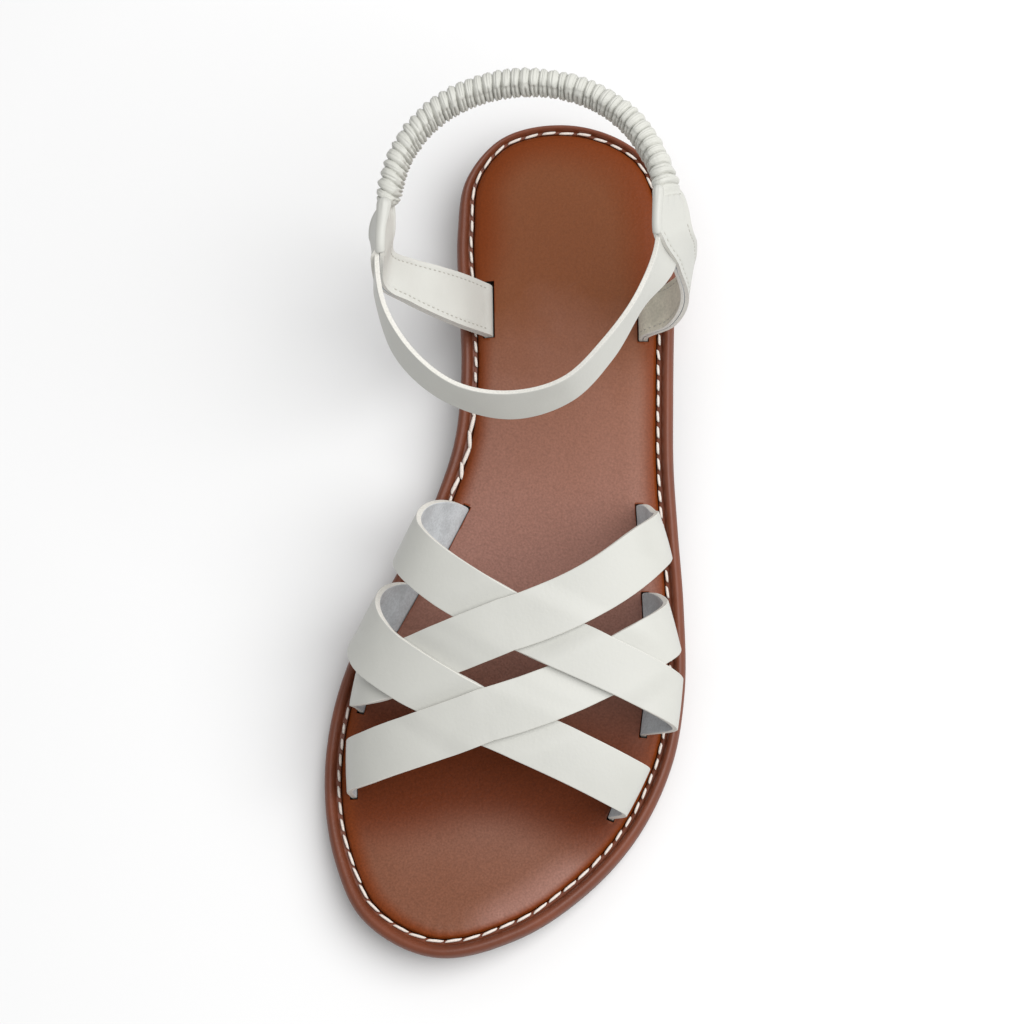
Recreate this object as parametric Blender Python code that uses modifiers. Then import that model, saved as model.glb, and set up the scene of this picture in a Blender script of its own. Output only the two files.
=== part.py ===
"""Left Roman sandal: low heel, padded footbed, four woven straps and an ankle ring."""
import bpy
import bmesh
import numpy as np

for leftover in list(bpy.data.objects):
    bpy.data.objects.remove(leftover, do_unlink=True)

MM = 0.001
OBJECT_NAME = "roman_sandal"

# Sole outline in millimetres: toe at -Y, heel at +Y, medial side at -X
HEEL_TIP = (-5.0, 125.5)
TOE_TIP = (-9.5, -125.8)
# y, medial edge x, lateral edge x
SOLE_ROWS = (
    (118.0, -27.8, 16.8),
    (105.0, -35.4, 25.6),
    (88.0, -35.4, 30.2),
    (66.0, -31.4, 32.8),
    (45.0, -27.6, 35.5),
    (25.0, -26.8, 38.3),
    (8.0, -30.0, 41.7),
    (-15.0, -38.2, 46.6),
    (-40.0, -47.4, 50.3),
    (-60.0, -50.4, 49.8),
    (-82.0, -48.9, 43.2),
    (-102.0, -42.3, 30.2),
    (-117.0, -32.2, 13.6),
)
OUTLINE_STEPS = 88
# From the sole rows to the middle of the whole sandal
CENTRE_SHIFT = (-0.39, 0.15)

# Heights of the sole
HEEL_HEIGHT = 10.0
HEEL_BREAST = 57.0
BALL_BACK = -25.0
BALL_FRONT = -76.0
TOE_SPRING = 6.0
OUTSOLE_THICK = 3.6
FIT_GAP = 0.25
INSOLE_THICK = 5.0

# Insets from the outline, at the sole's sides
OUTSOLE_INSET = 0.5
OUTSOLE_ARRIS = 0.9
LIFT_INSET = 1.6
LIFT_ARRIS = 0.8
BREAST_SETBACK = 4.0
INSOLE_INSET = 4.8
INSOLE_GAP = 0.3
# The border is wider at the toe and narrower round the heel
TOE_WIDENING = 0.08
TOE_BORDER = (-85.0, -120.0)
HEEL_NARROWING = 0.40
HEEL_BORDER = (85.0, 122.0)
# inset from the outline, height over the outsole
RIM_SECTION = (
    (0.4, 0.25),
    (0.0, 1.4),
    (0.05, 2.9),
    (0.6, 4.2),
    (1.6, 4.9),
    (2.5, 4.6),
    (3.1, 3.8),
    (3.4, 3.0),
    (4.8, 2.8),
    (4.8, 0.25),
)
# further inset, height over the outsole
INSOLE_EDGE = (
    (0.0, 0.25),
    (0.0, 2.9),
    (0.3, 3.5),
    (1.2, 4.2),
    (3.0, 4.7),
    (6.5, 5.1),
)

# Upper: the last's sections between the two slot lines
# y, medial slot x, lateral slot x, medial bulge, lateral bulge, height over the insole
LAST_ROWS = (
    (-95.0, -36.5, 29.0, 2.0, 8.0, 22.0),
    (-72.0, -41.4, 36.5, 2.5, 11.0, 28.0),
    (-49.0, -40.6, 40.3, 3.5, 15.0, 34.0),
    (-26.0, -33.6, 37.6, 9.0, 15.0, 40.0),
    (-3.0, -23.6, 33.0, 10.5, 13.0, 46.0),
    (20.0, -16.0, 28.5, 11.0, 13.0, 52.0),
)
LAST_FULLNESS = 0.88
LAST_TILT = 0.10
STRAP_WIDTH = 15.0
STRAP_THICK = 1.7
WEAVE_LIFT = 0.65
SLOT_LIP = 0.8
TAIL_GAP = 0.6
SLOT_EASE = 0.14
STRAP_STEPS = 36
ARC_STOPS = (0.0, 0.25, 0.5, 0.75, 1.0)
# y where the strap stands at each arc stop, medial slot first
STRAP_ROWS = {
    "strap_a": (-1.2, -16.0, -33.2, -45.3, -46.6),
    "strap_b": (-50.5, -51.5, -35.2, -3.7, 5.0),
    "strap_c": (-75.7, -74.0, -60.0, -31.0, -20.0),
    "strap_d": (-26.0, -45.8, -61.0, -71.3, -72.0),
}
# A strap's bends over the medial and the lateral edge: how far it stands out, how much further at its
# toe side, its slide towards the toe, and the share of its width that turns out of sight
STRAP_BENDS = {
    "strap_a": ((0.0, 0.0, 0.0, 0.0), (2.0, 1.0, 0.0, 0.05)),
    "strap_b": ((1.0, 0.0, 0.0, 0.0), (0.5, 3.0, 2.8, 0.14)),
    "strap_c": ((0.0, 0.0, 0.0, 0.0), (0.0, 2.6, 0.6, 0.14)),
    "strap_d": ((2.5, 3.6, 0.0, 0.0), (0.5, 0.0, 0.0, 0.0)),
}
# Arc shares over which a bend rises, holds and fades
BEND_REACH = (0.12, 0.2, 0.5)
# upper strap first
WEAVE = (("strap_b", "strap_a"), ("strap_a", "strap_c"), ("strap_d", "strap_b"), ("strap_c", "strap_d"))
SLOT_END_ROOM = 1.0
SLOT_SIDE_ROOM = 0.4
SLOT_REACH = 12.0

# Ankle ring: bands between two edges
# toe-side or upper edge x, y, z, then heel-side or lower edge x, y, z
TAB_THICK = 2.6
TAB_STEPS = 20
TAB_MEDIAL_ROWS = (
    (-21.0, 56.4, 14.9, -23.6, 71.8, 14.9),
    (-21.0, 56.4, 19.4, -23.6, 71.8, 19.4),
    (-22.6, 56.1, 22.0, -25.1, 71.6, 22.0),
    (-27.6, 54.8, 31.0, -29.9, 70.5, 31.0),
    (-34.3, 54.2, 41.0, -36.0, 68.7, 41.5),
    (-40.8, 54.2, 50.2, -42.2, 67.0, 50.5),
    (-46.0, 54.8, 59.0, -46.3, 65.8, 59.5),
    (-46.8, 60.2, 73.5, -46.9, 68.6, 63.5),
    (-48.0, 74.0, 76.5, -48.0, 77.6, 65.0),
)
TAB_LATERAL_ROWS = (
    (24.7, 60.8, 14.9, 22.6, 74.0, 14.9),
    (24.7, 60.8, 20.2, 22.6, 74.0, 20.2),
    (33.3, 62.5, 31.0, 31.4, 75.3, 30.5),
    (37.4, 66.3, 45.0, 37.0, 77.2, 43.0),
    (34.9, 70.6, 60.0, 38.2, 80.3, 54.0),
    (29.8, 75.0, 73.5, 35.6, 82.5, 63.0),
    (28.4, 86.8, 77.0, 33.2, 91.5, 65.0),
)
FRONT_THICK = 1.5
FRONT_STEPS = 34
FRONT_ROWS = (
    (-47.4, 58.2, 72.9, -48.4, 53.6, 61.8),
    (-45.0, 49.6, 73.0, -46.6, 48.2, 62.4),
    (-37.6, 38.0, 71.0, -39.8, 35.2, 60.6),
    (-20.5, 26.9, 68.0, -21.8, 23.6, 58.0),
    (-5.0, 26.5, 67.0, -4.2, 22.0, 57.0),
    (9.6, 32.0, 68.6, 11.4, 29.0, 58.4),
    (19.4, 43.8, 70.8, 21.0, 42.0, 60.3),
    (27.2, 58.4, 73.2, 27.6, 57.4, 62.6),
    (30.0, 73.6, 73.0, 34.4, 69.6, 61.4),
)
ELASTIC_ROWS = (
    (-47.8, 74.5, 76.6, -47.6, 78.1, 65.1),
    (-45.7, 91.4, 77.5, -45.1, 91.2, 66.5),
    (-39.0, 103.2, 78.4, -38.2, 102.4, 67.6),
    (-26.8, 111.6, 80.4, -26.2, 110.4, 69.6),
    (-10.1, 115.5, 81.3, -9.9, 114.3, 70.7),
    (5.5, 114.1, 80.3, 5.1, 112.9, 69.7),
    (17.8, 107.7, 79.3, 17.2, 106.7, 68.7),
    (26.9, 96.3, 77.4, 27.5, 95.5, 66.6),
    (28.4, 87.3, 77.0, 32.6, 91.9, 65.2),
)
PLEATS = 44
PLEAT_THICK = 7.4
VALLEY_THICK = 5.6
PLEAT_GROW = 0.4
ELASTIC_SECTION = 10

# Linear colours of the finished pieces
RUBBER = (0.085, 0.040, 0.024)
BROWN = (0.190, 0.062, 0.026)
TAN = (0.270, 0.085, 0.034)
WHITE = (0.760, 0.745, 0.700)


def cubic(knots, values, at):
    """Smooth curve through values at rising knots; each column is its own curve."""
    knots = np.asarray(knots, float)
    values = np.asarray(values, float)
    at = np.asarray(at, float)
    step = np.diff(knots)
    shape = (-1,) + (1,) * (values.ndim - 1)
    slope = np.diff(values, axis=0) / step.reshape(shape)
    share = (step[1:] / (step[1:] + step[:-1])).reshape(shape)
    tangent = np.concatenate([slope[:1], slope[:-1] * share + slope[1:] * (1 - share), slope[-1:]])
    cell = np.clip(np.searchsorted(knots, at, side="right") - 1, 0, len(step) - 1)
    span = step[cell].reshape(shape)
    u = ((at - knots[cell]) / step[cell]).reshape(shape)
    start = (1 + 2 * u) * (1 - u) ** 2 * values[cell] + u * (1 - u) ** 2 * span * tangent[cell]
    end = u * u * (3 - 2 * u) * values[cell + 1] + u * u * (u - 1) * span * tangent[cell + 1]
    return start + end


def unit(vectors):
    """Vectors of length one along the last axis."""
    return vectors / np.linalg.norm(vectors, axis=-1, keepdims=True)


def sole_outline(inset, count=OUTLINE_STEPS):
    """Points round the sole from the heel tip by the medial side, moved inwards."""
    medial = [(medial_x, y) for y, medial_x, lateral_x in SOLE_ROWS]
    lateral = [(lateral_x, y) for y, medial_x, lateral_x in reversed(SOLE_ROWS)]
    loop = np.array([HEEL_TIP] + medial + [TOE_TIP] + lateral)
    wrapped = np.concatenate([loop[-3:], loop, loop[:4]])
    knots = np.concatenate([[0.0], np.cumsum(np.linalg.norm(np.diff(wrapped, axis=0), axis=1))])
    heel, toe, heel_again = knots[3], knots[4 + len(medial)], knots[3 + len(loop)]
    down = np.linspace(heel, toe, count // 2, endpoint=False)
    back = np.linspace(toe, heel_again, count // 2, endpoint=False)
    at = np.concatenate([down, back])
    ahead = unit(cubic(knots, wrapped, at + 0.1) - cubic(knots, wrapped, at - 0.1))
    inward = np.column_stack([-ahead[:, 1], ahead[:, 0]])
    return cubic(knots, wrapped, at) + np.reshape(inset, (-1, 1)) * inward


def smoothstep(low, high, value):
    """0 before low, 1 after high and a soft rise between."""
    share = np.clip((value - low) / (high - low), 0, 1)
    return share * share * (3 - 2 * share)


def border_width(y):
    """Share of the border's width that a place along the sole has."""
    return 1 + TOE_WIDENING * smoothstep(*TOE_BORDER, y) - HEEL_NARROWING * smoothstep(*HEEL_BORDER, y)


def sole_rise(y):
    """Height of the outsole's underside: flat ball, toe spring and heel seat."""
    spring = np.clip((BALL_FRONT - y) / (BALL_FRONT - TOE_TIP[1]), 0, None) ** 2
    return TOE_SPRING * spring + HEEL_HEIGHT * smoothstep(BALL_BACK, HEEL_BREAST, y)


def sole_ring(inset, height, gap=0.0):
    """Outline ring at a height over the outsole's underside, its inset scaled with the border."""
    plan = sole_outline(inset * border_width(sole_outline(0.0)[:, 1]) + gap)
    return np.column_stack([plan, sole_rise(plan[:, 1]) + height])


def heel_ring(inset, height):
    """Level ring round the heel, closed by a straight breast."""
    breast = HEEL_BREAST + BREAST_SETBACK
    plan = np.roll(sole_outline(inset), OUTLINE_STEPS // 2, axis=0)
    behind = np.flatnonzero(np.roll(sole_outline(LIFT_INSET), OUTLINE_STEPS // 2, axis=0)[:, 1] > breast)
    first, last = behind[0], behind[-1]
    ends = []
    for near, far in ((first, first - 1), (last, last + 1)):
        share = (breast - plan[near, 1]) / (plan[far, 1] - plan[near, 1])
        ends.append(plan[near] + (plan[far] - plan[near]) * share)
    run = np.concatenate([ends[:1], plan[first:last + 1], ends[1:]])
    return np.column_stack([run, np.full(len(run), height)])


def insole_top(y):
    """Height of the footbed."""
    return sole_rise(y) + OUTSOLE_THICK + INSOLE_THICK


def last_point(arc, y):
    """Point of the last at an arc share from the medial to the lateral slot line."""
    rows = np.array(LAST_ROWS)
    medial, lateral, medial_bulge, lateral_bulge, height = cubic(rows[:, 0], rows[:, 1:], y).T
    turn = np.pi * np.asarray(arc, float)
    side = (1 - np.cos(turn)) / 2
    swell = np.sin(2 * turn)
    out = np.where(swell > 0, -medial_bulge, -lateral_bulge) * swell
    rise = np.clip(np.sin(turn), 0, None) ** LAST_FULLNESS * (1 + LAST_TILT * np.cos(turn))
    x = medial + (lateral - medial) * side + out
    return np.column_stack([x, y, insole_top(y) + SLOT_LIP + height * rise])


def strap_y(name, arc):
    """Where a strap stands along the sole at an arc share, square to the slots at its ends."""
    stops = np.array((-0.06,) + ARC_STOPS + (1.06,))
    values = np.array(STRAP_ROWS[name][:1] + STRAP_ROWS[name] + STRAP_ROWS[name][-1:])
    return cubic(stops, values, arc)


def bend_share(arc):
    """1 at a strap's bend, 0 in its slot and towards the middle of the last."""
    rise, hold, fall = BEND_REACH
    return smoothstep(0, rise, arc) * (1 - smoothstep(hold, fall, arc))


def weave_offset(name, arc):
    """Lift along the last's normal, up where the strap runs over another one."""
    probe = np.linspace(0.05, 0.95, 721)
    stops = [(0.0, 0.0), (1.0, 0.0)]
    for upper, lower in WEAVE:
        if name in (upper, lower):
            apart = strap_y(upper, probe) - strap_y(lower, probe)
            cross = probe[np.argmin(np.abs(apart))]
            stops.append((cross, WEAVE_LIFT if name == upper else -WEAVE_LIFT))
    stops.sort()
    return cubic([stop[0] for stop in stops], [stop[1] for stop in stops], arc)


def strap_sheet(name, steps=STRAP_STEPS):
    """Rows of three points across a strap, with a tail down each slot."""
    arc = np.linspace(0.0, 1.0, steps + 1)
    y = strap_y(name, arc)
    small = 0.004
    low, high = np.clip(arc - small, 0, 1), np.clip(arc + small, 0, 1)
    along = unit(last_point(high, strap_y(name, high)) - last_point(low, strap_y(name, low)))
    lengthwise = unit(last_point(arc, y + 1.0) - last_point(arc, y - 1.0))
    normal = unit(np.cross(last_point(high, y) - last_point(low, y), lengthwise))
    square = unit(np.cross(normal, along))
    ease = smoothstep(0.0, SLOT_EASE, np.minimum(arc, 1 - arc))[:, None]
    side = unit(lengthwise + (square - lengthwise) * ease)
    centre = last_point(arc, y) + normal * weave_offset(name, arc)[:, None]
    across = np.linspace(-0.5, 0.5, 3)[None, :, None] * STRAP_WIDTH
    rows = centre[:, None, :] + side[:, None, :] * across
    toeward = np.linspace(0.5, -0.5, 3)[None, :]
    for way, share, (out, skew, slide, narrow) in zip((-1, 1), (arc, 1 - arc), STRAP_BENDS[name]):
        bend = bend_share(share)[:, None]
        rows[:, :, 0] += way * (out + skew * toeward) * bend
        rows[:, :, 1] -= (slide - narrow * toeward * STRAP_WIDTH) * bend
    tails = rows[[0, -1]].copy()
    tails[:, :, 2] = sole_rise(tails[:, :, 1]) + OUTSOLE_THICK + TAIL_GAP
    return np.concatenate([tails[:1], rows, tails[1:]])


def ladder(first, count):
    """Faces across a ring of points, heel to toe."""
    half = count // 2
    faces = [(first, first + 1, first + count - 1)]
    for i in range(1, half - 1):
        faces.append((first + i, first + i + 1, first + count - i - 1, first + count - i))
    faces.append((first + half - 1, first + half, first + half + 1))
    return faces


def stack_rings(rings, closed=False):
    """Faces between rings of equal count, the last joined to the first when closed."""
    count = len(rings[0])
    faces = []
    for i in range(len(rings) if closed else len(rings) - 1):
        low, high = i * count, (i + 1) % len(rings) * count
        for j in range(count):
            k = (j + 1) % count
            faces.append((low + j, low + k, high + k, high + j))
    return faces


def grid_faces(rows, columns):
    """Faces of an open sheet of points."""
    faces = []
    for i in range(rows - 1):
        for j in range(columns - 1):
            a = i * columns + j
            faces.append((a, a + 1, a + columns + 1, a + columns))
    return faces


def new_collection(name):
    """Collection under the scene."""
    group = bpy.data.collections.new(name)
    bpy.context.scene.collection.children.link(group)
    return group


def new_material(name, colour, roughness):
    """Plain finish for one piece."""
    finish = bpy.data.materials.new(name)
    finish.use_nodes = True
    shader = finish.node_tree.nodes["Principled BSDF"]
    shader.inputs["Base Color"].default_value = colour + (1.0,)
    shader.inputs["Roughness"].default_value = roughness
    return finish


def add_piece(name, points, faces, group, finish=None):
    """Object from points in millimetres, its faces turned outwards."""
    mesh = bpy.data.meshes.new(name)
    mesh.from_pydata((np.asarray(points) * MM).tolist(), [], faces)
    shell = bmesh.new()
    shell.from_mesh(mesh)
    bmesh.ops.recalc_face_normals(shell, faces=shell.faces)
    shell.to_mesh(mesh)
    shell.free()
    piece = bpy.data.objects.new(name, mesh)
    group.objects.link(piece)
    piece.parent = stand
    if finish:
        mesh.materials.append(finish)
    return piece


def thicken(piece, thickness):
    """Even wall about the sheet."""
    wall = piece.modifiers.new("wall", "SOLIDIFY")
    wall.thickness = thickness * MM
    wall.offset = 0.0
    wall.use_even_offset = True


def combine(piece, other, operation):
    """Exact Boolean with a helper object."""
    join = piece.modifiers.new(other.name, "BOOLEAN")
    join.operation = operation
    join.solver = "EXACT"
    join.object = other


def add_helper(name, points, faces):
    """Helper object that only shapes other pieces."""
    helper = add_piece(name, points, faces, helpers)
    helper.display_type = "WIRE"
    helper.hide_render = True
    return helper


def band_points(rows, steps, columns=3):
    """Points of a band lofted between its two edge curves."""
    edges = np.array(rows)
    middle = (edges[:, :3] + edges[:, 3:]) / 2
    knots = np.concatenate([[0.0], np.cumsum(np.linalg.norm(np.diff(middle, axis=0), axis=1))])
    smooth = cubic(knots, edges, np.linspace(0, knots[-1], steps + 1))
    share = np.linspace(0, 1, columns)[None, :, None]
    return smooth[:, None, :3] * (1 - share) + smooth[:, None, 3:] * share


def add_band(name, rows, steps, thickness, finish):
    """Leather band of even thickness between two edge curves."""
    points = band_points(rows, steps)
    faces = grid_faces(points.shape[0], points.shape[1])
    piece = add_piece(name, points.reshape(-1, 3), faces, parts, finish)
    thicken(piece, thickness)
    return piece


def cut_slot(piece, name, front, rear, thickness):
    """Upright slot through a piece for a leather end between two points."""
    centre = (front + rear) / 2
    side = unit((rear - front) * (1, 1, 0))
    across = np.array([-side[1], side[0], 0.0])
    side *= np.linalg.norm(rear - front) / 2 + SLOT_END_ROOM
    across *= thickness / 2 + SLOT_SIDE_ROOM
    corners = []
    for height in (-SLOT_REACH, SLOT_REACH):
        for a, b in ((-1, -1), (1, -1), (1, 1), (-1, 1)):
            corners.append(centre + side * a + across * b + (0, 0, height))
    sides = [(0, 1, 2, 3), (4, 5, 6, 7), (0, 1, 5, 4), (1, 2, 6, 5), (2, 3, 7, 6), (3, 0, 4, 7)]
    combine(piece, add_helper(name, corners, sides), "DIFFERENCE")


def build_outsole():
    """Thin rubber sheet under the whole foot."""
    rings = [
        sole_ring(OUTSOLE_INSET + OUTSOLE_ARRIS, 0.0),
        sole_ring(OUTSOLE_INSET, OUTSOLE_ARRIS),
        sole_ring(OUTSOLE_INSET, OUTSOLE_THICK),
    ]
    faces = ladder(0, OUTLINE_STEPS) + stack_rings(rings) + ladder(2 * OUTLINE_STEPS, OUTLINE_STEPS)
    add_piece("outsole", np.concatenate(rings), faces, parts, new_material("outsole_rubber", RUBBER, 0.6))


def build_heel_lift():
    """Low block under the heel, cut off at the breast."""
    rings = [
        heel_ring(LIFT_INSET + LIFT_ARRIS, 0.0),
        heel_ring(LIFT_INSET, LIFT_ARRIS),
        heel_ring(LIFT_INSET, HEEL_HEIGHT - FIT_GAP),
    ]
    count = len(rings[0])
    top = 2 * count
    faces = [tuple(range(count)), tuple(range(top, top + count))] + stack_rings(rings)
    finish = new_material("heel_rubber", RUBBER, 0.6)
    add_piece("heel_lift", np.concatenate(rings), faces, parts, finish)


def build_rim():
    """Rolled edge band with the floor of the stitch groove."""
    rings = [sole_ring(inset, OUTSOLE_THICK + height) for inset, height in RIM_SECTION]
    finish = new_material("rim_leather", BROWN, 0.45)
    add_piece("rim", np.concatenate(rings), stack_rings(rings, closed=True), parts, finish)


def build_insole():
    """Padded footbed with a slot for every strap end."""
    rings = [
        sole_ring(INSOLE_INSET, OUTSOLE_THICK + height, INSOLE_GAP + inset) for inset, height in INSOLE_EDGE
    ]
    top = (len(rings) - 1) * OUTLINE_STEPS
    faces = ladder(0, OUTLINE_STEPS) + stack_rings(rings) + ladder(top, OUTLINE_STEPS)
    insole = add_piece("insole", np.concatenate(rings), faces, parts, new_material("insole_leather", TAN, 0.5))
    for name in STRAP_ROWS:
        sheet = strap_sheet(name)
        cut_slot(insole, name + "_medial_slot", sheet[0, 0], sheet[0, 2], STRAP_THICK)
        cut_slot(insole, name + "_lateral_slot", sheet[-1, 0], sheet[-1, 2], STRAP_THICK)
    for name, rows in (("tab_medial_slot", TAB_MEDIAL_ROWS), ("tab_lateral_slot", TAB_LATERAL_ROWS)):
        cut_slot(insole, name, np.array(rows[0][:3]), np.array(rows[0][3:]), TAB_THICK)


def build_straps():
    """Four straps woven over and under, one piece of leather where they cross."""
    finish = new_material("strap_leather", WHITE, 0.5)
    whole = None
    for name in STRAP_ROWS:
        points = strap_sheet(name)
        faces = grid_faces(points.shape[0], points.shape[1])
        if whole is None:
            whole = add_piece("forefoot_straps", points.reshape(-1, 3), faces, parts, finish)
            thicken(whole, STRAP_THICK)
        else:
            strap = add_helper(name, points.reshape(-1, 3), faces)
            thicken(strap, STRAP_THICK)
            combine(whole, strap, "UNION")


def build_elastic():
    """Ruched band: rounded rings that swell at each pleat."""
    points = band_points(ELASTIC_ROWS, 2 * PLEATS, 2)
    centre = points.mean(axis=1)
    up = points[:, 0] - points[:, 1]
    half_height = np.linalg.norm(up, axis=1) / 2
    up = unit(up)
    along = unit(np.gradient(centre, axis=0))
    out = unit(np.cross(along, up))
    angle = np.linspace(0, 2 * np.pi, ELASTIC_SECTION, endpoint=False)
    swell = np.arange(len(centre)) % 2
    rings = []
    for i in range(len(centre)):
        thick = (PLEAT_THICK if swell[i] else VALLEY_THICK) / 2
        tall = half_height[i] + PLEAT_GROW * swell[i]
        ring = np.outer(np.cos(angle) * tall, up[i]) + np.outer(np.sin(angle) * thick, out[i])
        rings.append(centre[i] + ring)
    last = (len(rings) - 1) * ELASTIC_SECTION
    faces = stack_rings(rings)
    faces.append(tuple(range(ELASTIC_SECTION)))
    faces.append(tuple(range(last, last + ELASTIC_SECTION)))
    finish = new_material("elastic_leather", WHITE, 0.6)
    add_piece("ankle_strap_elastic", np.concatenate(rings), faces, parts, finish)


parts = new_collection(OBJECT_NAME)
helpers = new_collection("helpers")
stand = bpy.data.objects.new("stand", None)
stand.location = (CENTRE_SHIFT[0] * MM, CENTRE_SHIFT[1] * MM, 0.0)
parts.objects.link(stand)

build_outsole()
build_heel_lift()
build_rim()
build_insole()
build_straps()
add_band("heel_tab_medial", TAB_MEDIAL_ROWS, TAB_STEPS, TAB_THICK, new_material("medial_tab_leather", WHITE, 0.5))
add_band("heel_tab_lateral", TAB_LATERAL_ROWS, TAB_STEPS, TAB_THICK, new_material("lateral_tab_leather", WHITE, 0.5))
add_band("ankle_strap_front", FRONT_ROWS, FRONT_STEPS, FRONT_THICK, new_material("front_strap_leather", WHITE, 0.5))
build_elastic()
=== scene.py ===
"""Finish of a left Roman sandal: woven leather straps, padded footbed and ruched ankle band."""
import math

import bmesh
import bpy
import numpy as np
from mathutils import Matrix, Vector, kdtree


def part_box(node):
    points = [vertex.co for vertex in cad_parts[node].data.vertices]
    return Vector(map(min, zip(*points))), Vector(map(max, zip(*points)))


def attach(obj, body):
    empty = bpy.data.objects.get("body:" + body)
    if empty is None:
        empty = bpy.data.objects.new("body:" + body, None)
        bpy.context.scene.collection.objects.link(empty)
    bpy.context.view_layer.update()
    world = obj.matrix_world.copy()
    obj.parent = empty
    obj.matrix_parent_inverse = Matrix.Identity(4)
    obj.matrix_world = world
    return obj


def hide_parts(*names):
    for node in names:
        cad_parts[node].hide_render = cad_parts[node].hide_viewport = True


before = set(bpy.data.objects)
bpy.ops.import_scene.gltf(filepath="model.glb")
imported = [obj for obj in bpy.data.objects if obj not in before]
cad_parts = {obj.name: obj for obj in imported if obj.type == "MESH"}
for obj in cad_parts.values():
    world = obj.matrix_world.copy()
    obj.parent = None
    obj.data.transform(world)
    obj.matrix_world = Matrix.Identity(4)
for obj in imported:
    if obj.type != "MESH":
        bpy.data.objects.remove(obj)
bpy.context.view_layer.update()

bl_info = {
    "name": "Roman sandal",
    "version": (1, 0, 0),
    "blender": (4, 5, 0),
    "location": "View3D > Sidebar > Sandal",
    "description": "Leather, stitching, ruching and studio stage for a left Roman sandal",
    "category": "Add Mesh",
}

MM = 0.001
SHARP_ANGLE = math.radians(50)
ALL_SMOOTH = math.radians(180)
MERGE_DISTANCE = 1e-7
# Points round the outline that distances and stitches are read from
OUTLINE_STEPS = 4000
# Small steps that directions are read over: outline in millimetres, arc, band and outline as shares
OUTLINE_STEP = 0.1
ARC_STEP = 0.004
BAND_STEP = 0.01
SHARE_STEP = 0.001

# Sole outline in millimetres: toe at -Y, heel at +Y, medial side at -X
HEEL_TIP = (-5.0, 125.5)
TOE_TIP = (-9.5, -125.8)
# y, medial edge x, lateral edge x
SOLE_ROWS = (
    (118.0, -27.8, 16.8),
    (105.0, -35.4, 25.6),
    (88.0, -35.4, 30.2),
    (66.0, -31.4, 32.8),
    (45.0, -27.6, 35.5),
    (25.0, -26.8, 38.3),
    (8.0, -30.0, 41.7),
    (-15.0, -38.2, 46.6),
    (-40.0, -47.4, 50.3),
    (-60.0, -50.4, 49.8),
    (-82.0, -48.9, 43.2),
    (-102.0, -42.3, 30.2),
    (-117.0, -32.2, 13.6),
)

# Heights of the sole
HEEL_HEIGHT = 10.0
HEEL_BREAST = 57.0
BALL_BACK = -25.0
BALL_FRONT = -76.0
TOE_SPRING = 6.0
OUTSOLE_THICK = 3.6
FIT_GAP = 0.25
INSOLE_THICK = 5.0

# Insets from the outline
OUTSOLE_INSET = 0.5
LIFT_INSET = 1.6
# Radius of the rubber's lower edge
LOWER_EDGE = 0.7
INSOLE_INSET = 4.8
INSOLE_GAP = 0.3
STITCH_INSET = 4.35
STITCH_HEIGHT = 3.4
TAB_STITCH_INSET = 1.6
# Part of the medial side where the stitches wander and nearly touch
WAVY_WAIST = (8.0, 38.0)
# The border is wider at the toe and narrower round the heel
TOE_WIDENING = 0.08
TOE_BORDER = (-85.0, -120.0)
HEEL_NARROWING = 0.40
HEEL_BORDER = (85.0, 122.0)
# inset from the outline, height over the outsole
RIM_SECTION = (
    (0.4, 0.25),
    (0.0, 1.4),
    (0.05, 2.9),
    (0.6, 4.2),
    (1.6, 4.9),
    (2.5, 4.6),
    (3.1, 3.8),
    (3.4, 3.0),
    (4.55, 2.85),
    (4.78, 2.7),
    (4.8, 2.3),
    (4.8, 0.8),
    (4.72, 0.45),
    (4.5, 0.3),
    (3.9, 0.25),
    (1.2, 0.25),
)
# distance from the footbed's edge, height over the outsole
INSOLE_EDGE = ((0.0, 2.9), (0.3, 3.5), (1.2, 4.2), (3.0, 4.7), (6.5, 5.1), (14.0, 5.2))

# The last's sections between the two slot lines
# y, medial slot x, lateral slot x, medial bulge, lateral bulge, height over the insole
LAST_ROWS = (
    (-95.0, -36.5, 29.0, 2.0, 8.0, 22.0),
    (-72.0, -41.4, 36.5, 2.5, 11.0, 28.0),
    (-49.0, -40.6, 40.3, 3.5, 15.0, 34.0),
    (-26.0, -33.6, 37.6, 9.0, 15.0, 40.0),
    (-3.0, -23.6, 33.0, 10.5, 13.0, 46.0),
    (20.0, -16.0, 28.5, 11.0, 13.0, 52.0),
)
LAST_FULLNESS = 0.88
LAST_TILT = 0.10
STRAP_WIDTH = 15.0
SLOT_LIP = 0.8
TAIL_GAP = 0.6
TAIL_SHARE = 0.04
SLOT_EASE = 0.14
# Room in a slot at the toe end, the heel end, the medial side and the lateral side
STRAP_SLOT_ROOM = (0.6, 0.6, 0.3, 0.3)
TAB_SLOT_ROOM = {"heel_tab_medial": (0.3, 1.6, 0.2, 0.7), "heel_tab_lateral": (0.3, 0.8, 0.5, 0.2)}
ARC_STOPS = (0.0, 0.25, 0.5, 0.75, 1.0)
ARC_OVERRUN = 0.06
# y where the strap stands at each arc stop, medial slot first
STRAP_ROWS = {
    "strap_a": (-1.2, -16.0, -33.2, -45.3, -46.6),
    "strap_b": (-50.5, -51.5, -35.2, -3.7, 5.0),
    "strap_c": (-75.7, -74.0, -60.0, -31.0, -20.0),
    "strap_d": (-26.0, -45.8, -61.0, -71.3, -72.0),
}
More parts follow.
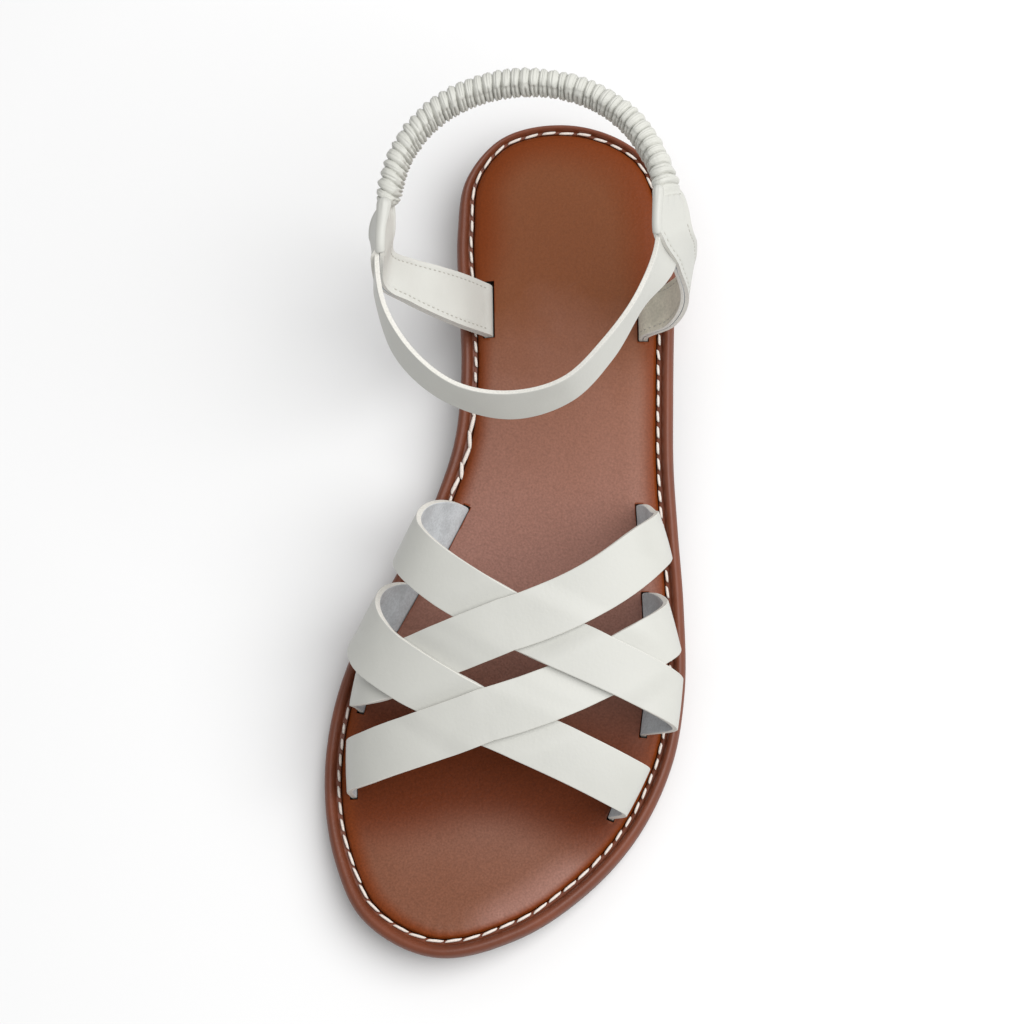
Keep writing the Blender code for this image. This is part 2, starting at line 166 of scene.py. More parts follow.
# A strap's bends over the medial and the lateral edge: how far it stands out, how much further at its
# toe side, its slide towards the toe, and the share of its width that turns out of sight
STRAP_BENDS = {
    "strap_a": ((0.0, 0.0, 0.0, 0.0), (2.0, 1.0, 0.0, 0.05)),
    "strap_b": ((1.0, 0.0, 0.0, 0.0), (0.5, 3.0, 2.8, 0.14)),
    "strap_c": ((0.0, 0.0, 0.0, 0.0), (0.0, 2.6, 0.6, 0.14)),
    "strap_d": ((2.5, 3.6, 0.0, 0.0), (0.5, 0.0, 0.0, 0.0)),
}
# Arc shares over which a bend rises, holds and fades
BEND_REACH = (0.12, 0.2, 0.5)
# upper strap first
WEAVE = (("strap_b", "strap_a"), ("strap_a", "strap_c"), ("strap_d", "strap_b"), ("strap_c", "strap_d"))
WEAVE_EASE = 7.0
WEAVE_CALM = 0.10
# Painted shade: the leather before these straps is painted darker over this distance from them, where
# they hold the sheen off it
FRONT_STRAPS = ("strap_c", "strap_d")
PAINTED_SHADE_REACH = (4.0, 20.0)
PAINTED_SHADE_ZONE = (-38.0, -66.0)
# The footbed's dark orange border, its own burnished tone where no sheen is painted, is wide at the heel
# and narrower by this factor before these places
BORDER_NARROWING = 2.6
BORDER_ZONE = (45.0, 85.0)

# Ankle ring: bands between two edges
# toe-side or upper edge x, y, z, then heel-side or lower edge x, y, z
TAB_ROWS = {
    "heel_tab_medial": (
        (-21.0, 56.4, 14.9, -23.6, 71.8, 14.9),
        (-21.0, 56.4, 19.4, -23.6, 71.8, 19.4),
        (-22.6, 56.1, 22.0, -25.1, 71.6, 22.0),
        (-27.6, 54.8, 31.0, -29.9, 70.5, 31.0),
        (-34.3, 54.2, 41.0, -36.0, 68.7, 41.5),
        (-40.8, 54.2, 50.2, -42.2, 67.0, 50.5),
        (-46.0, 54.8, 59.0, -46.3, 65.8, 59.5),
        (-46.8, 60.2, 73.5, -46.9, 68.6, 63.5),
        (-48.0, 74.0, 76.5, -48.0, 77.6, 65.0),
    ),
    "heel_tab_lateral": (
        (24.7, 60.8, 14.9, 22.6, 74.0, 14.9),
        (24.7, 60.8, 20.2, 22.6, 74.0, 20.2),
        (33.3, 62.5, 31.0, 31.4, 75.3, 30.5),
        (37.4, 66.3, 45.0, 37.0, 77.2, 43.0),
        (34.9, 70.6, 60.0, 38.2, 80.3, 54.0),
        (29.8, 75.0, 73.5, 35.6, 82.5, 63.0),
        (28.4, 86.8, 77.0, 33.2, 91.5, 65.0),
    ),
}
# The ends of the front strap and the elastic are sewn in between the leathers of the tabs
FRONT_ROWS = (
    (-47.6, 65.0, 74.0, -48.8, 61.0, 62.4),
    (-47.4, 58.2, 72.9, -48.4, 53.6, 61.8),
    (-45.0, 49.6, 73.0, -46.6, 48.2, 62.4),
    (-37.6, 38.0, 71.0, -39.8, 35.2, 60.6),
    (-20.5, 26.9, 68.0, -21.8, 23.6, 58.0),
    (-5.0, 26.5, 67.0, -4.2, 22.0, 57.0),
    (9.6, 32.0, 68.6, 11.4, 29.0, 58.4),
    (19.4, 43.8, 70.8, 21.0, 42.0, 60.3),
    (27.2, 58.4, 73.2, 27.6, 57.4, 62.6),
    (30.0, 73.6, 73.0, 34.4, 69.6, 61.4),
    (29.4, 79.6, 74.2, 35.2, 76.2, 62.2),
)
ELASTIC_ROWS = (
    (-47.8, 74.5, 76.6, -47.6, 78.1, 65.1),
    (-45.7, 91.4, 77.5, -45.1, 91.2, 66.5),
    (-39.0, 103.2, 78.4, -38.2, 102.4, 67.6),
    (-26.8, 111.6, 80.4, -26.2, 110.4, 69.6),
    (-10.1, 115.5, 81.3, -9.9, 114.3, 70.7),
    (5.5, 114.1, 80.3, 5.1, 112.9, 69.7),
    (17.8, 107.7, 79.3, 17.2, 106.7, 68.7),
    (26.9, 96.3, 77.4, 27.5, 95.5, 66.6),
    (28.4, 87.3, 77.0, 32.6, 91.9, 65.2),
)
# How far the outer and inner leathers of a tab stand out round the elastic, and the share of that
# lost at its end
TAB_SWELL = {"heel_tab_medial": (4.6, 0.8, 0.8), "heel_tab_lateral": (1.6, 0.8, 1.5)}
# How far the outer leather gives way to the front strap and the inner leather leans on it
TAB_MOUTH = {"heel_tab_medial": (1.5, -1.2), "heel_tab_lateral": (0.75, 0.0)}
# Radius of the fold, how far its middle lies under the top edge, its flare at the gathers and its
# lean inwards
TAB_FOLD = {"heel_tab_medial": (1.55, 0.8, 0.34, 0.5), "heel_tab_lateral": (1.38, 0.5, 0.16, 0.0)}
# Along the fold, as shares of its length: where it ends in the gathers, its round start, its flare,
# where its tucked end begins and how much that takes off
FOLD_END = 1.02
FOLD_START = 0.05
FOLD_FLARE = (0.35, 0.95)
FOLD_TUCK = 0.86
TUCK_LOSS = 0.8
# Puckers round the fold
FOLD_PUCKERS = 9
FOLD_PUCKER = 0.06
FOLD_PUCKER_ZONE = (0.6, 0.9)
# Trough that the stitches draw along a tab, and where it begins
TROUGH_DEPTH = 0.22
TROUGH_WIDTH = 0.45
TROUGH_START = (0.06, 0.09)
# Casing round the elastic, outer leather first: where it begins before the fold and is full past it
CASING_BEFORE = (0.22, 0.04)
CASING_PAST = (0.0, 0.06)
CASING_ROUNDNESS = 1.3
# Mouth for the front strap: where it opens before the fold, then where each leather begins to shut
# and over what share
MOUTH_OPENS = (0.22, 0.10)
MOUTH_SHUTS = (0.02, 0.10)
MOUTH_CLOSING = (0.04, 0.10)
# Ripples across a tab's gathered end
TAB_RIPPLE = 0.22
TAB_RIPPLE_TURN = 26.0
TAB_RIPPLE_ZONE = (0.93, 1.0)
# Length, width and height of a tab stitch, how proud it stands and where along the tab they begin
TAB_STITCH = (1.1, 0.42, 0.3)
TAB_STITCH_PROUD = 0.02
TAB_STITCH_START = 0.075
TAB_STITCH_STEP = 0.008
# Air between two leathers that lie on each other, a strap's arch across its width, and eased arrises
LEATHER_GAP = 0.06
STRAP_CROWN = 0.25
STRAP_EASE = 0.3 * MM
TAB_EASE = 0.25 * MM

# Tread: pitch of the grooves, swing and reach of their waves, and the sines between which a wall rises
TREAD_PITCH = 6.0
TREAD_SWING = 0.9
TREAD_REACH = 7.0
TREAD_WALL = (0.25, 0.6)
# Plain rubber along the border, behind the ball and behind the heel's breast
TREAD_BORDER = (5.0, 6.5)
BALL_TREAD_END = (BALL_BACK + 20.0, BALL_BACK + 12.0)
HEEL_TREAD_START = (HEEL_BREAST + 6.0, HEEL_BREAST + 9.0)
BREAST_LINE = HEEL_BREAST + 4.0

# Puckers that the stitches draw in the footbed's edge, and what the toe adds to them
PUCKER_TOE = (-92.0, -112.0)
PUCKER_HEIGHT = 0.05
TOE_PUCKER_HEIGHT = 0.06
PUCKER_REACH = 1.4
TOE_PUCKER_REACH = 1.2
# Painted sheen at the lateral toe narrows the dark border there, and a painted highlight lies along that
# edge
TOE_SHEEN_ACROSS = (-25.0, 5.0)
TOE_SHEEN_ALONG = (-60.0, -90.0)
TOE_SHEEN_NARROWING = 4.0
TOE_HIGHLIGHT_SHARE = 0.8
TOE_HIGHLIGHT_REACH = (3.0, 11.0)
TOE_HIGHLIGHT_ACROSS = (-5.0, 8.0)
TOE_HIGHLIGHT_ALONG = (-86.0, -98.0)
# Slot widths before their room is added, and the height of the boxes that cut them
STRAP_SLOT = 1.7
TAB_SLOT = 2.6
SLOT_HEIGHT = 24.0

# Sole stitches: their spacing along the sides as a share of the pitch, and what the ends add to it
STITCH_SPACING = 0.93
END_SPACING = 0.13
STITCH_ENDS = (70.0, 105.0)
# Height of a stitch, the slant of its ends, and how blunt and how sunk these are
STITCH_RISE = 0.9
STITCH_SLANT = 0.22
STITCH_BLUNTNESS = 0.3
STITCH_SINK = 0.4
# Every stitch leans a little and strays in turn, length and place
STITCH_LEAN = 0.03
TURN_STRAY = 0.035
LENGTH_STRAY = 0.15
SIDE_STRAY = 0.10
# Gaps shrink round the toe
TOE_GAP_LOSS = 0.6
TOE_GAP_ZONE = (-80.0, -110.0)
# At the wavy waist: turn to and fro, loss of the gap, stray in place and gain in width
WAVY_TURN = 0.20
WAVY_GAP_LOSS = 1.5
WAVY_STRAY = 0.12
WAVY_WIDENING = 0.4

# Gathers: how far the tube runs past the band's ends, and over what share its pleats rise there
GATHER_OVERRUN = 0.02
GATHER_RISE = 0.035
# Pleats beyond either end that the wandering creases may reach
PLEAT_SPARE = 4
# Pleats lean on the medial half, and each one wanders by its own shares
PLEAT_LEAN = 0.35
PLEAT_LEAN_ZONE = (0.25, 0.6)
PLEAT_WANDER = (0.08, 0.11, 0.09)
PLEAT_UNEVEN = 0.10
# Forked creases on a pleat's outer face: depth, its stray, place, its stray and whose chance moves it
FORKS = ((0.17, 0.09, 0.38, 0.08, 4), (0.13, -0.09, 0.68, -0.07, 1))
FORK_WIDTH = 0.07
# Sines of the angle round the tube between which the forks begin and fade
FORK_START = (-0.98, -0.7)
FORK_END = (0.7, 0.3)
# Inner face: a pinched line, and past it small nubs in place of most of the pleat
PINCH_ANGLE = 1.0
PINCH_WIDTH = 0.16
PINCH_DEPTH = 0.22
INNER_STRAY = 0.25
INNER_LOSS = 0.55
NUB_START = (0.75, 1.15)
NUB_END = (2.4, 2.9)
NUB_HEIGHT = 0.42
NUB_SKEW = 0.6
NUB_ROUNDNESS = 0.7
# Fine ripples over a pleat: height, turns across it and bend round the tube
RIPPLE = 0.06
RIPPLE_TURNS = 1.4
RIPPLE_BEND = 3
# Half thickness of the tube at its ends, then between pleats and what a pleat adds; its top's swell
TUBE_END = 1.3
TUBE_BASE = 0.7
TUBE_PLEAT = 1.65
TUBE_TOP = 1.0
TUBE_SQUARENESS = 0.85

# Stage
CAMERA_TARGET = (-4.3, 1.6, 30.0)
SENSOR_WIDTH = 36.0
NEAREST_SEEN = 0.01
FLOOR_HALF = 4.0
SOFTBOX_SIZE = 1.5
SOFTBOX_PLACE = (0.72, 0.12, 1.18)
ANKLE_MIDDLE = (-8.0, 72.0, 45.0)
FOOT_MIDDLE = (-2.0, -35.0, 15.0)


class SandalSizes(bpy.types.PropertyGroup):
    """Sizes of the sandal's leather, thread and tread"""

    strap_thickness: bpy.props.FloatProperty(
        name="Strap thickness", description="Leather of the four forefoot straps",
        default=0.0017, unit="LENGTH")
    tab_layer: bpy.props.FloatProperty(
        name="Tab layer", description="Each of the two leathers in a heel tab",
        default=0.0012, unit="LENGTH")
    front_thickness: bpy.props.FloatProperty(
        name="Front strap thickness", description="Leather of the front ankle strap",
        default=0.0015, unit="LENGTH")
    pleat_count: bpy.props.IntProperty(
        name="Pleats", description="Pleats round the elastic ankle strap",
        default=44, min=12)
    stitch_pitch: bpy.props.FloatProperty(
        name="Stitch pitch", description="From one sole stitch to the next",
        default=0.0050, unit="LENGTH")
    stitch_gap: bpy.props.FloatProperty(
        name="Stitch gap", description="Between the ends of two sole stitches",
        default=0.0013, unit="LENGTH")
    thread_width: bpy.props.FloatProperty(
        name="Thread width", description="Width of the sole thread",
        default=0.0009, unit="LENGTH")
    tab_stitch_pitch: bpy.props.FloatProperty(
        name="Tab stitch pitch", description="From one tab stitch to the next",
        default=0.0020, unit="LENGTH")
    tread_depth: bpy.props.FloatProperty(
        name="Tread depth", description="Depth of the grooves under the sole",
        default=0.0006, unit="LENGTH")


class SandalColours(bpy.types.PropertyGroup):
    """Colours of the sandal's leathers, thread and rubber, as sRGB hex codes"""

    straps: bpy.props.StringProperty(
        name="Straps", description="Grain side of the straps",
        default="#BABAB4")
    flesh: bpy.props.StringProperty(
        name="Flesh side", description="Suede back of the straps",
        default="#C2C8CB")
    lining: bpy.props.StringProperty(
        name="Tab lining", description="Nap inside the lateral tab",
        default="#CCC6B5")
    cut_edge: bpy.props.StringProperty(
        name="Cut edge", description="Raw edge of the straps",
        default="#D0CEC7")
    # Painted light: a lighter copy of the straps' white leather, for the light that falls inside the
    # medial tab
    tab_face_painted_lighter: bpy.props.StringProperty(
        name="Tab face", description="Grain side inside the medial tab",
        default="#C4C4BE")
    # Painted light: the straps' white leather made a little lighter, to lift the ruching's shaded side
    gathers: bpy.props.StringProperty(
        name="Gathers", description="Leather over the elastic",
        default="#C0C0B9")
    footbed_toe: bpy.props.StringProperty(
        name="Footbed toe", description="Front of the footbed",
        default="#744936")
    # Painted sheen: the leather's tone at the ball and waist, lightened and made rosy by the sheen
    # painted there
    footbed_ball_and_sheen: bpy.props.StringProperty(
        name="Footbed ball", description="Hazy ball and waist",
        default="#8F675B")
    footbed_shank: bpy.props.StringProperty(
        name="Footbed shank", description="Before the heel seat",
        default="#855A49")
    footbed_heel: bpy.props.StringProperty(
        name="Footbed heel", description="Heel seat of the footbed",
        default="#754429")
    # Painted shade: darker, more saturated leather under and by the front straps, where they hold the
    # sheen off
    footbed_painted_shade: bpy.props.StringProperty(
        name="Footbed shade", description="Unfaded leather under the front straps",
        default="#642D13")
    footbed_edge: bpy.props.StringProperty(
        name="Footbed edge", description="Burnished border of the footbed",
        default="#70320E")
    slot_wall: bpy.props.StringProperty(
        name="Slot wall", description="Board inside the strap slots",
        default="#2A1710")
    rim: bpy.props.StringProperty(
        name="Rim", description="Rolled band round the sole",
        default="#6D351B")
    thread: bpy.props.StringProperty(
        name="Sole thread", description="Waxed thread of the sole",
        default="#DDD3CA")
    # Painted shade: the tabs' white thread painted grey for the shade in its stitch holes
    tab_thread_and_shade: bpy.props.StringProperty(
        name="Tab thread", description="Thread of the heel tabs",
        default="#A3A198")
    rubber: bpy.props.StringProperty(name="Rubber", description="Outsole and heel", default="#5A3324")
    floor: bpy.props.StringProperty(name="Floor", description="Studio floor", default="#E2E2E2")


class SandalStage(bpy.types.PropertyGroup):
    """Camera and light of the studio stage"""

    azimuth: bpy.props.FloatProperty(
        name="Azimuth", description="Camera's turn from the toe to the lateral side",
        default=math.radians(28.61), subtype="ANGLE")
    elevation: bpy.props.FloatProperty(
        name="Elevation", description="Camera's angle over the floor",
        default=math.radians(74.06), subtype="ANGLE")
    roll: bpy.props.FloatProperty(
        name="Roll", description="Camera's turn about its own view",
        default=math.radians(-20.6), subtype="ANGLE")
    distance: bpy.props.FloatProperty(
        name="Distance", description="From the camera to the sandal",
        default=1.0044, unit="LENGTH")
    lens: bpy.props.FloatProperty(
        name="Lens", description="Focal length in millimetres",
        default=123.0)
    key_power: bpy.props.FloatProperty(
        name="Key light", description="Power of the softbox",
        default=22.5, unit="POWER")
    room_light: bpy.props.FloatProperty(
        name="Room light", description="Strength of the even white room",
        default=0.60)


def hex_colour(code):
    """Linear colour with full alpha from an sRGB hex code."""
    parts = np.array([int(code[i:i + 2], 16) / 255 for i in (1, 3, 5)])
    linear = np.where(parts <= 0.04045, parts / 12.92, ((parts + 0.055) / 1.055) ** 2.4)
    return (*linear.tolist(), 1.0)


def per_mm(size):
    """Texture scale whose features are this many millimetres across."""
    return 1 / (size * MM)


def smoothstep(low, high, value):
    """0 before low, 1 after high and a soft rise between."""
    share = np.clip((value - low) / (high - low), 0, 1)
    return share * share * (3 - 2 * share)


def unit(vectors):
    """Vectors of length one along the last axis."""
    return vectors / np.linalg.norm(vectors, axis=-1, keepdims=True)


def cubic(knots, values, at):
    """Smooth curve through values at rising knots; each column is its own curve."""
    knots = np.asarray(knots, float)
    values = np.asarray(values, float)
    at = np.asarray(at, float)
    step = np.diff(knots)
    shape = (-1,) + (1,) * (values.ndim - 1)
    slope = np.diff(values, axis=0) / step.reshape(shape)
    share = (step[1:] / (step[1:] + step[:-1])).reshape(shape)
    tangent = np.concatenate([slope[:1], slope[:-1] * share + slope[1:] * (1 - share), slope[-1:]])
    cell = np.clip(np.searchsorted(knots, at, side="right") - 1, 0, len(step) - 1)
    span = step[cell].reshape(shape)
    u = ((at - knots[cell]) / step[cell]).reshape(shape)
    start = (1 + 2 * u) * (1 - u) ** 2 * values[cell] + u * (1 - u) ** 2 * span * tangent[cell]
    end = u * u * (3 - 2 * u) * values[cell + 1] + u * u * (u - 1) * span * tangent[cell + 1]
    return start + end


def walk(points):
    """Distance walked along a row of points, 0 at the first."""
    return np.concatenate([[0.0], np.cumsum(np.linalg.norm(np.diff(points, axis=0), axis=1))])


def outline_loop():
    """The sole's outline as a wrapped curve, with where the heel and toe tips lie on it."""
    medial = [(medial_x, y) for y, medial_x, lateral_x in SOLE_ROWS]
    lateral = [(lateral_x, y) for y, medial_x, lateral_x in reversed(SOLE_ROWS)]
    loop = np.array([HEEL_TIP] + medial + [TOE_TIP] + lateral)
    wrapped = np.concatenate([loop[-3:], loop, loop[:4]])
    knots = walk(wrapped)
    return knots, wrapped, knots[3], knots[4 + len(medial)], knots[3 + len(loop)]


OUTLINE = outline_loop()


def border_width(y):
    """Share of the border's width that it has at this place along the sole."""
    return 1 + TOE_WIDENING * smoothstep(*TOE_BORDER, y) - HEEL_NARROWING * smoothstep(*HEEL_BORDER, y)


def outline_point(share, inset, gap=0.0):
    """Plan point at a share of the way round from the heel by the medial side, moved inwards."""
    knots, wrapped, heel, toe, heel_again = OUTLINE
    share = np.asarray(share, float)
    medial = heel + (toe - heel) * 2 * share
    lateral = toe + (heel_again - toe) * (2 * share - 1)
    at = np.where(share < 0.5, medial, lateral)
    ahead = unit(cubic(knots, wrapped, at + OUTLINE_STEP) - cubic(knots, wrapped, at - OUTLINE_STEP))
    inward = np.column_stack([-ahead[:, 1], ahead[:, 0]])
    plan = cubic(knots, wrapped, at)
    return plan + (np.asarray(inset) * border_width(plan[:, 1]) + gap)[:, None] * inward


def sole_shift():
    """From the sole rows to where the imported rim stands, in metres."""
    low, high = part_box("rim")
    plan = outline_point(np.linspace(0, 1, 600, endpoint=False), 0.0)
    middle = (plan.min(axis=0) + plan.max(axis=0)) / 2 * MM
    return np.array([(low.x + high.x) / 2 - middle[0], (low.y + high.y) / 2 - middle[1], 0.0])


SOLE_SHIFT = sole_shift()


def to_metres(points):
    """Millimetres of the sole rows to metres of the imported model."""
    return np.asarray(points, float) * MM + SOLE_SHIFT


def sole_rise(y):
    """Height of the outsole's underside: flat ball, toe spring and heel seat."""
    spring = np.clip((BALL_FRONT - y) / (BALL_FRONT - TOE_TIP[1]), 0, None) ** 2
    lift = np.clip((y - BALL_BACK) / (HEEL_BREAST - BALL_BACK), 0, 1)
    return TOE_SPRING * spring + HEEL_HEIGHT * lift * lift * (3 - 2 * lift)


def across_sole(along, across, inset, gap=0.0):
    """Plan point between the two edges of the sole, the steps across finer towards the edges."""
    half = along / 2
    side = ((1 - np.cos(np.pi * across)) / 2)[:, None]
    return outline_point(half, inset, gap) * (1 - side) + outline_point(1 - half, inset, gap) * side


def last_point(arc, y):
    """Point of the last at an arc share from the medial to the lateral slot line."""
    rows = np.array(LAST_ROWS)
    medial, lateral, medial_bulge, lateral_bulge, height = cubic(rows[:, 0], rows[:, 1:], y).T
    turn = np.pi * np.asarray(arc, float)
    side = (1 - np.cos(turn)) / 2
    swell = np.sin(2 * turn)
    out = np.where(swell > 0, -medial_bulge, -lateral_bulge) * swell
    rise = np.clip(np.sin(turn), 0, None) ** LAST_FULLNESS * (1 + LAST_TILT * np.cos(turn))
    x = medial + (lateral - medial) * side + out
    z = sole_rise(y) + OUTSOLE_THICK + INSOLE_THICK + SLOT_LIP + height * rise
    return np.column_stack([x, y, z])


def strap_y(name, arc):
    """Where a strap stands along the sole at an arc share, square to the slots at its ends."""
    stops = np.array((-ARC_OVERRUN,) + ARC_STOPS + (1 + ARC_OVERRUN,))
    values = np.array(STRAP_ROWS[name][:1] + STRAP_ROWS[name] + STRAP_ROWS[name][-1:])
    return cubic(stops, values, arc)


def bend_share(arc):
    """1 at a strap's bend, 0 in its slot and towards the middle of the last."""
    rise, hold, fall = BEND_REACH
    return smoothstep(0, rise, arc) * (1 - smoothstep(hold, fall, arc))


def weave_lift(name, points):
    """Share of the lift at points of a strap, 1 over another and -1 under one, and how near one is."""
    arc = np.linspace(0, 1, 260)
    lift = np.zeros(len(points))
    near = np.zeros(len(points))
    for upper, lower in WEAVE:
        if name in (upper, lower):
            other = lower if name == upper else upper
            line = last_point(arc, strap_y(other, arc))
            apart = np.linalg.norm(points[:, None, :] - line[None, :, :], axis=2).min(axis=1)
            share = 1 - smoothstep(STRAP_WIDTH / 2, STRAP_WIDTH / 2 + WEAVE_EASE, apart)
            lift += share if name == upper else -share
            near = np.maximum(near, share)
    return lift, near


def strap_point(name, along, across, lift=0.0, crown=0.0):
    """Point of a strap's middle surface, with a tail down each slot."""
    arc = np.clip((along - TAIL_SHARE) / (1 - 2 * TAIL_SHARE), 0, 1)
    y = strap_y(name, arc)
    low = np.clip(arc - ARC_STEP, 0, 1)
    high = np.clip(arc + ARC_STEP, 0, 1)
    direction = unit(last_point(high, strap_y(name, high)) - last_point(low, strap_y(name, low)))
    lengthwise = unit(last_point(arc, y + 1.0) - last_point(arc, y - 1.0))
    normal = unit(np.cross(last_point(high, y) - last_point(low, y), lengthwise))
    square = unit(np.cross(normal, direction))
    ease = smoothstep(0, SLOT_EASE, np.minimum(arc, 1 - arc))[:, None]
    side = unit(lengthwise + (square - lengthwise) * ease)
    points = last_point(arc, y) + side * ((across - 0.5) * STRAP_WIDTH)[:, None]
    for way, share, (out, skew, slide, narrow) in zip((-1, 1), (arc, 1 - arc), STRAP_BENDS[name]):
        points[:, 0] += way * (out + skew * (0.5 - across)) * bend_share(share)
        points[:, 1] -= (slide + narrow * (across - 0.5) * STRAP_WIDTH) * bend_share(share)
    if lift:
        share, near = weave_lift(name, points)
        calm = smoothstep(0.0, WEAVE_CALM, np.minimum(arc, 1 - arc))
        arch = crown * (1 - (2 * across - 1) ** 2) * (1 - near) * calm
        points = points + normal * (share * lift * calm + arch)[:, None]
    tail = np.clip(1 - along / TAIL_SHARE, 0, 1) + np.clip(1 - (1 - along) / TAIL_SHARE, 0, 1)
    foot = sole_rise(points[:, 1]) + OUTSOLE_THICK + TAIL_GAP
    points[:, 2] += (foot - points[:, 2]) * tail
    return points


def band_edges(rows, along):
    """Both edges of a band, at shares of its length."""
    edges = np.array(rows)
    middle = (edges[:, :3] + edges[:, 3:]) / 2
    knots = walk(middle)
    smooth = cubic(knots, edges, np.asarray(along) * knots[-1])
    return smooth[:, :3], smooth[:, 3:]


def band_length(rows):
    """Length of a band along its middle, in millimetres."""
    first, second = band_edges(rows, np.linspace(0, 1, 200))
    return walk((first + second) / 2)[-1]


def fold_start(rows):
    """Share of a tab's length where the fold at the top of the ring begins."""
    edges = np.array(rows)
    step = np.linalg.norm(np.diff((edges[:, :3] + edges[:, 3:]) / 2, axis=0), axis=1)
    return 1 - step[-1] / step.sum()


def band_point(rows, along, across, offset=0.0):
    """Point of a band between its edges, moved off along its normal."""
    first, second = band_edges(rows, along)
    share = np.asarray(across)[:, None]
    points = first * (1 - share) + second * share
    low = np.clip(along - BAND_STEP, 0, 1 - 2 * BAND_STEP)
    high = np.clip(along + BAND_STEP, 2 * BAND_STEP, 1)
    ahead = np.array(band_edges(rows, high)).mean(axis=0) - np.array(band_edges(rows, low)).mean(axis=0)
    normal = unit(np.cross(ahead, second - first))
    away = np.einsum("ij,ij->i", normal, points - np.array(ANKLE_MIDDLE)).mean()
    return points + normal * np.reshape(offset, (-1, 1)) * np.sign(away)


def nearest(spots, plan):
    """Distance from plan points to the nearest of some spots, and which spot that is."""
    tree = kdtree.KDTree(len(spots))
    for i, spot in enumerate(spots):
        tree.insert((spot[0], spot[1], 0.0), i)
    tree.balance()
    found = [tree.find((x, y, 0.0)) for x, y in plan]
    return np.array([hit[2] for hit in found]), [hit[1] for hit in found]


def border_of(plan, inset, gap=0.0):
    """Distance from plan points to the inset outline, and the share round it of the nearest point."""
    shares = np.linspace(0, 1, OUTLINE_STEPS, endpoint=False)
    spots = outline_point(shares, inset, gap)
    which = nearest(spots, plan)[1]
    ahead = unit(np.roll(spots, -1, axis=0) - np.roll(spots, 1, axis=0))[which]
    away = plan - spots[which]
    return np.abs(away[:, 0] * ahead[:, 1] - away[:, 1] * ahead[:, 0]), shares[which]


def painted_strap_shade(plan):
    """Painted shade at plan points under and by the two front straps, where they hold the sheen off the
    leather.
    """
    along, across = np.meshgrid(np.linspace(0.08, 0.92, 200), np.linspace(0, 1, 9))
    unshaded = np.ones(len(plan))
    for name in FRONT_STRAPS:
        line = strap_point(name, along.ravel(), across.ravel())
        unshaded *= smoothstep(*PAINTED_SHADE_REACH, nearest(line[:, :2], plan)[0])
    return (1 - unshaded) * smoothstep(*PAINTED_SHADE_ZONE, plan[:, 1])


def heel_plan(along, across):
    """Plan point of the heel block, from the heel tip to a straight breast."""
    shares = np.linspace(0, 0.5, 800)
    medial = outline_point(shares, LIFT_INSET)[:, 1]
    lateral = outline_point(1 - shares, LIFT_INSET)[:, 1]
    medial_end = np.interp(-BREAST_LINE, -medial, shares)
    lateral_end = np.interp(-BREAST_LINE, -lateral, shares)
    side = ((1 - np.cos(np.pi * across)) / 2)[:, None]
    medial_edge = outline_point(medial_end * along, LIFT_INSET)
    lateral_edge = outline_point(1 - lateral_end * along, LIFT_INSET)
    return medial_edge * (1 - side) + lateral_edge * side


def sheet(columns, rows, place):
    """Grid whose points stand where place puts their two shares, with its doubles merged."""
    shape = bmesh.new()
    bmesh.ops.create_grid(shape, x_segments=columns, y_segments=rows, size=0.5)
    shares = np.array([vert.co[:2] for vert in shape.verts]) + 0.5
    for vert, point in zip(shape.verts, to_metres(place(shares[:, 0], shares[:, 1]))):
        vert.co = point
    bmesh.ops.remove_doubles(shape, verts=shape.verts, dist=MERGE_DISTANCE)
    return shape


def face_away(shape, middle):
    """Turns a sheet's faces away from a point in millimetres."""
    bmesh.ops.recalc_face_normals(shape, faces=shape.faces)
    inside = Vector(to_metres(middle))
    outward = sum(face.normal.dot(face.calc_center_median() - inside) for face in shape.faces)
    if outward < 0:
        bmesh.ops.reverse_faces(shape, faces=shape.faces)


def bake(piece):
    """Replaces a piece's mesh by what its modifiers make of it."""
    made = bpy.data.meshes.new_from_object(piece.evaluated_get(bpy.context.evaluated_depsgraph_get()))
    piece.modifiers.clear()
    old = piece.data
    piece.data = made
    bpy.data.meshes.remove(old)
    made.name = piece.name


def second_skin(shape, top, keep=False):
    """Makes a sheet solid with a copy of itself at the height that top gives along the sole."""
    made = bmesh.ops.extrude_face_region(shape, geom=shape.faces[:], use_keep_orig=keep)
    for vert in made["geom"]:
        if isinstance(vert, bmesh.types.BMVert):
            vert.co.z = top((vert.co.y - SOLE_SHIFT[1]) / MM) * MM
    bmesh.ops.recalc_face_normals(shape, faces=shape.faces)


def link_mesh(name, shape, finishes):
    """New object of a shape in the scene, with its finishes."""
    mesh = bpy.data.meshes.new(name)
    shape.to_mesh(mesh)
    shape.free()
    for finish in finishes:
        mesh.materials.append(finish)
    piece = bpy.data.objects.new(name, mesh)
    bpy.context.scene.collection.objects.link(piece)
    return piece


def put(name, shape, node, finishes, sharp=SHARP_ANGLE):
    """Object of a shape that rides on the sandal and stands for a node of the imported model."""
    piece = link_mesh(name, shape, finishes)
    piece.data.shade_smooth()
    piece.data.set_sharp_from_angle(angle=sharp)
    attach(piece, "root")
    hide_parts(node)
    return piece


def thicken(piece, thickness, edge):
    """Wall of leather on a sheet: flesh side and cut edge in their own finishes, arrises eased."""
    wall = piece.modifiers.new("wall", "SOLIDIFY")
    wall.thickness = thickness
    wall.offset = 0.0
    wall.use_even_offset = True
    wall.material_offset = 1
    wall.material_offset_rim = 2
    ease_edges(piece, edge)


def ease_edges(piece, width):
    """Rounds a piece's arrises."""
    ease = piece.modifiers.new("eased_edge", "BEVEL")
    ease.width = width
    ease.segments = 3
    ease.profile = 0.5
    ease.limit_method = "ANGLE"
    ease.angle_limit = SHARP_ANGLE
    ease.harden_normals = True


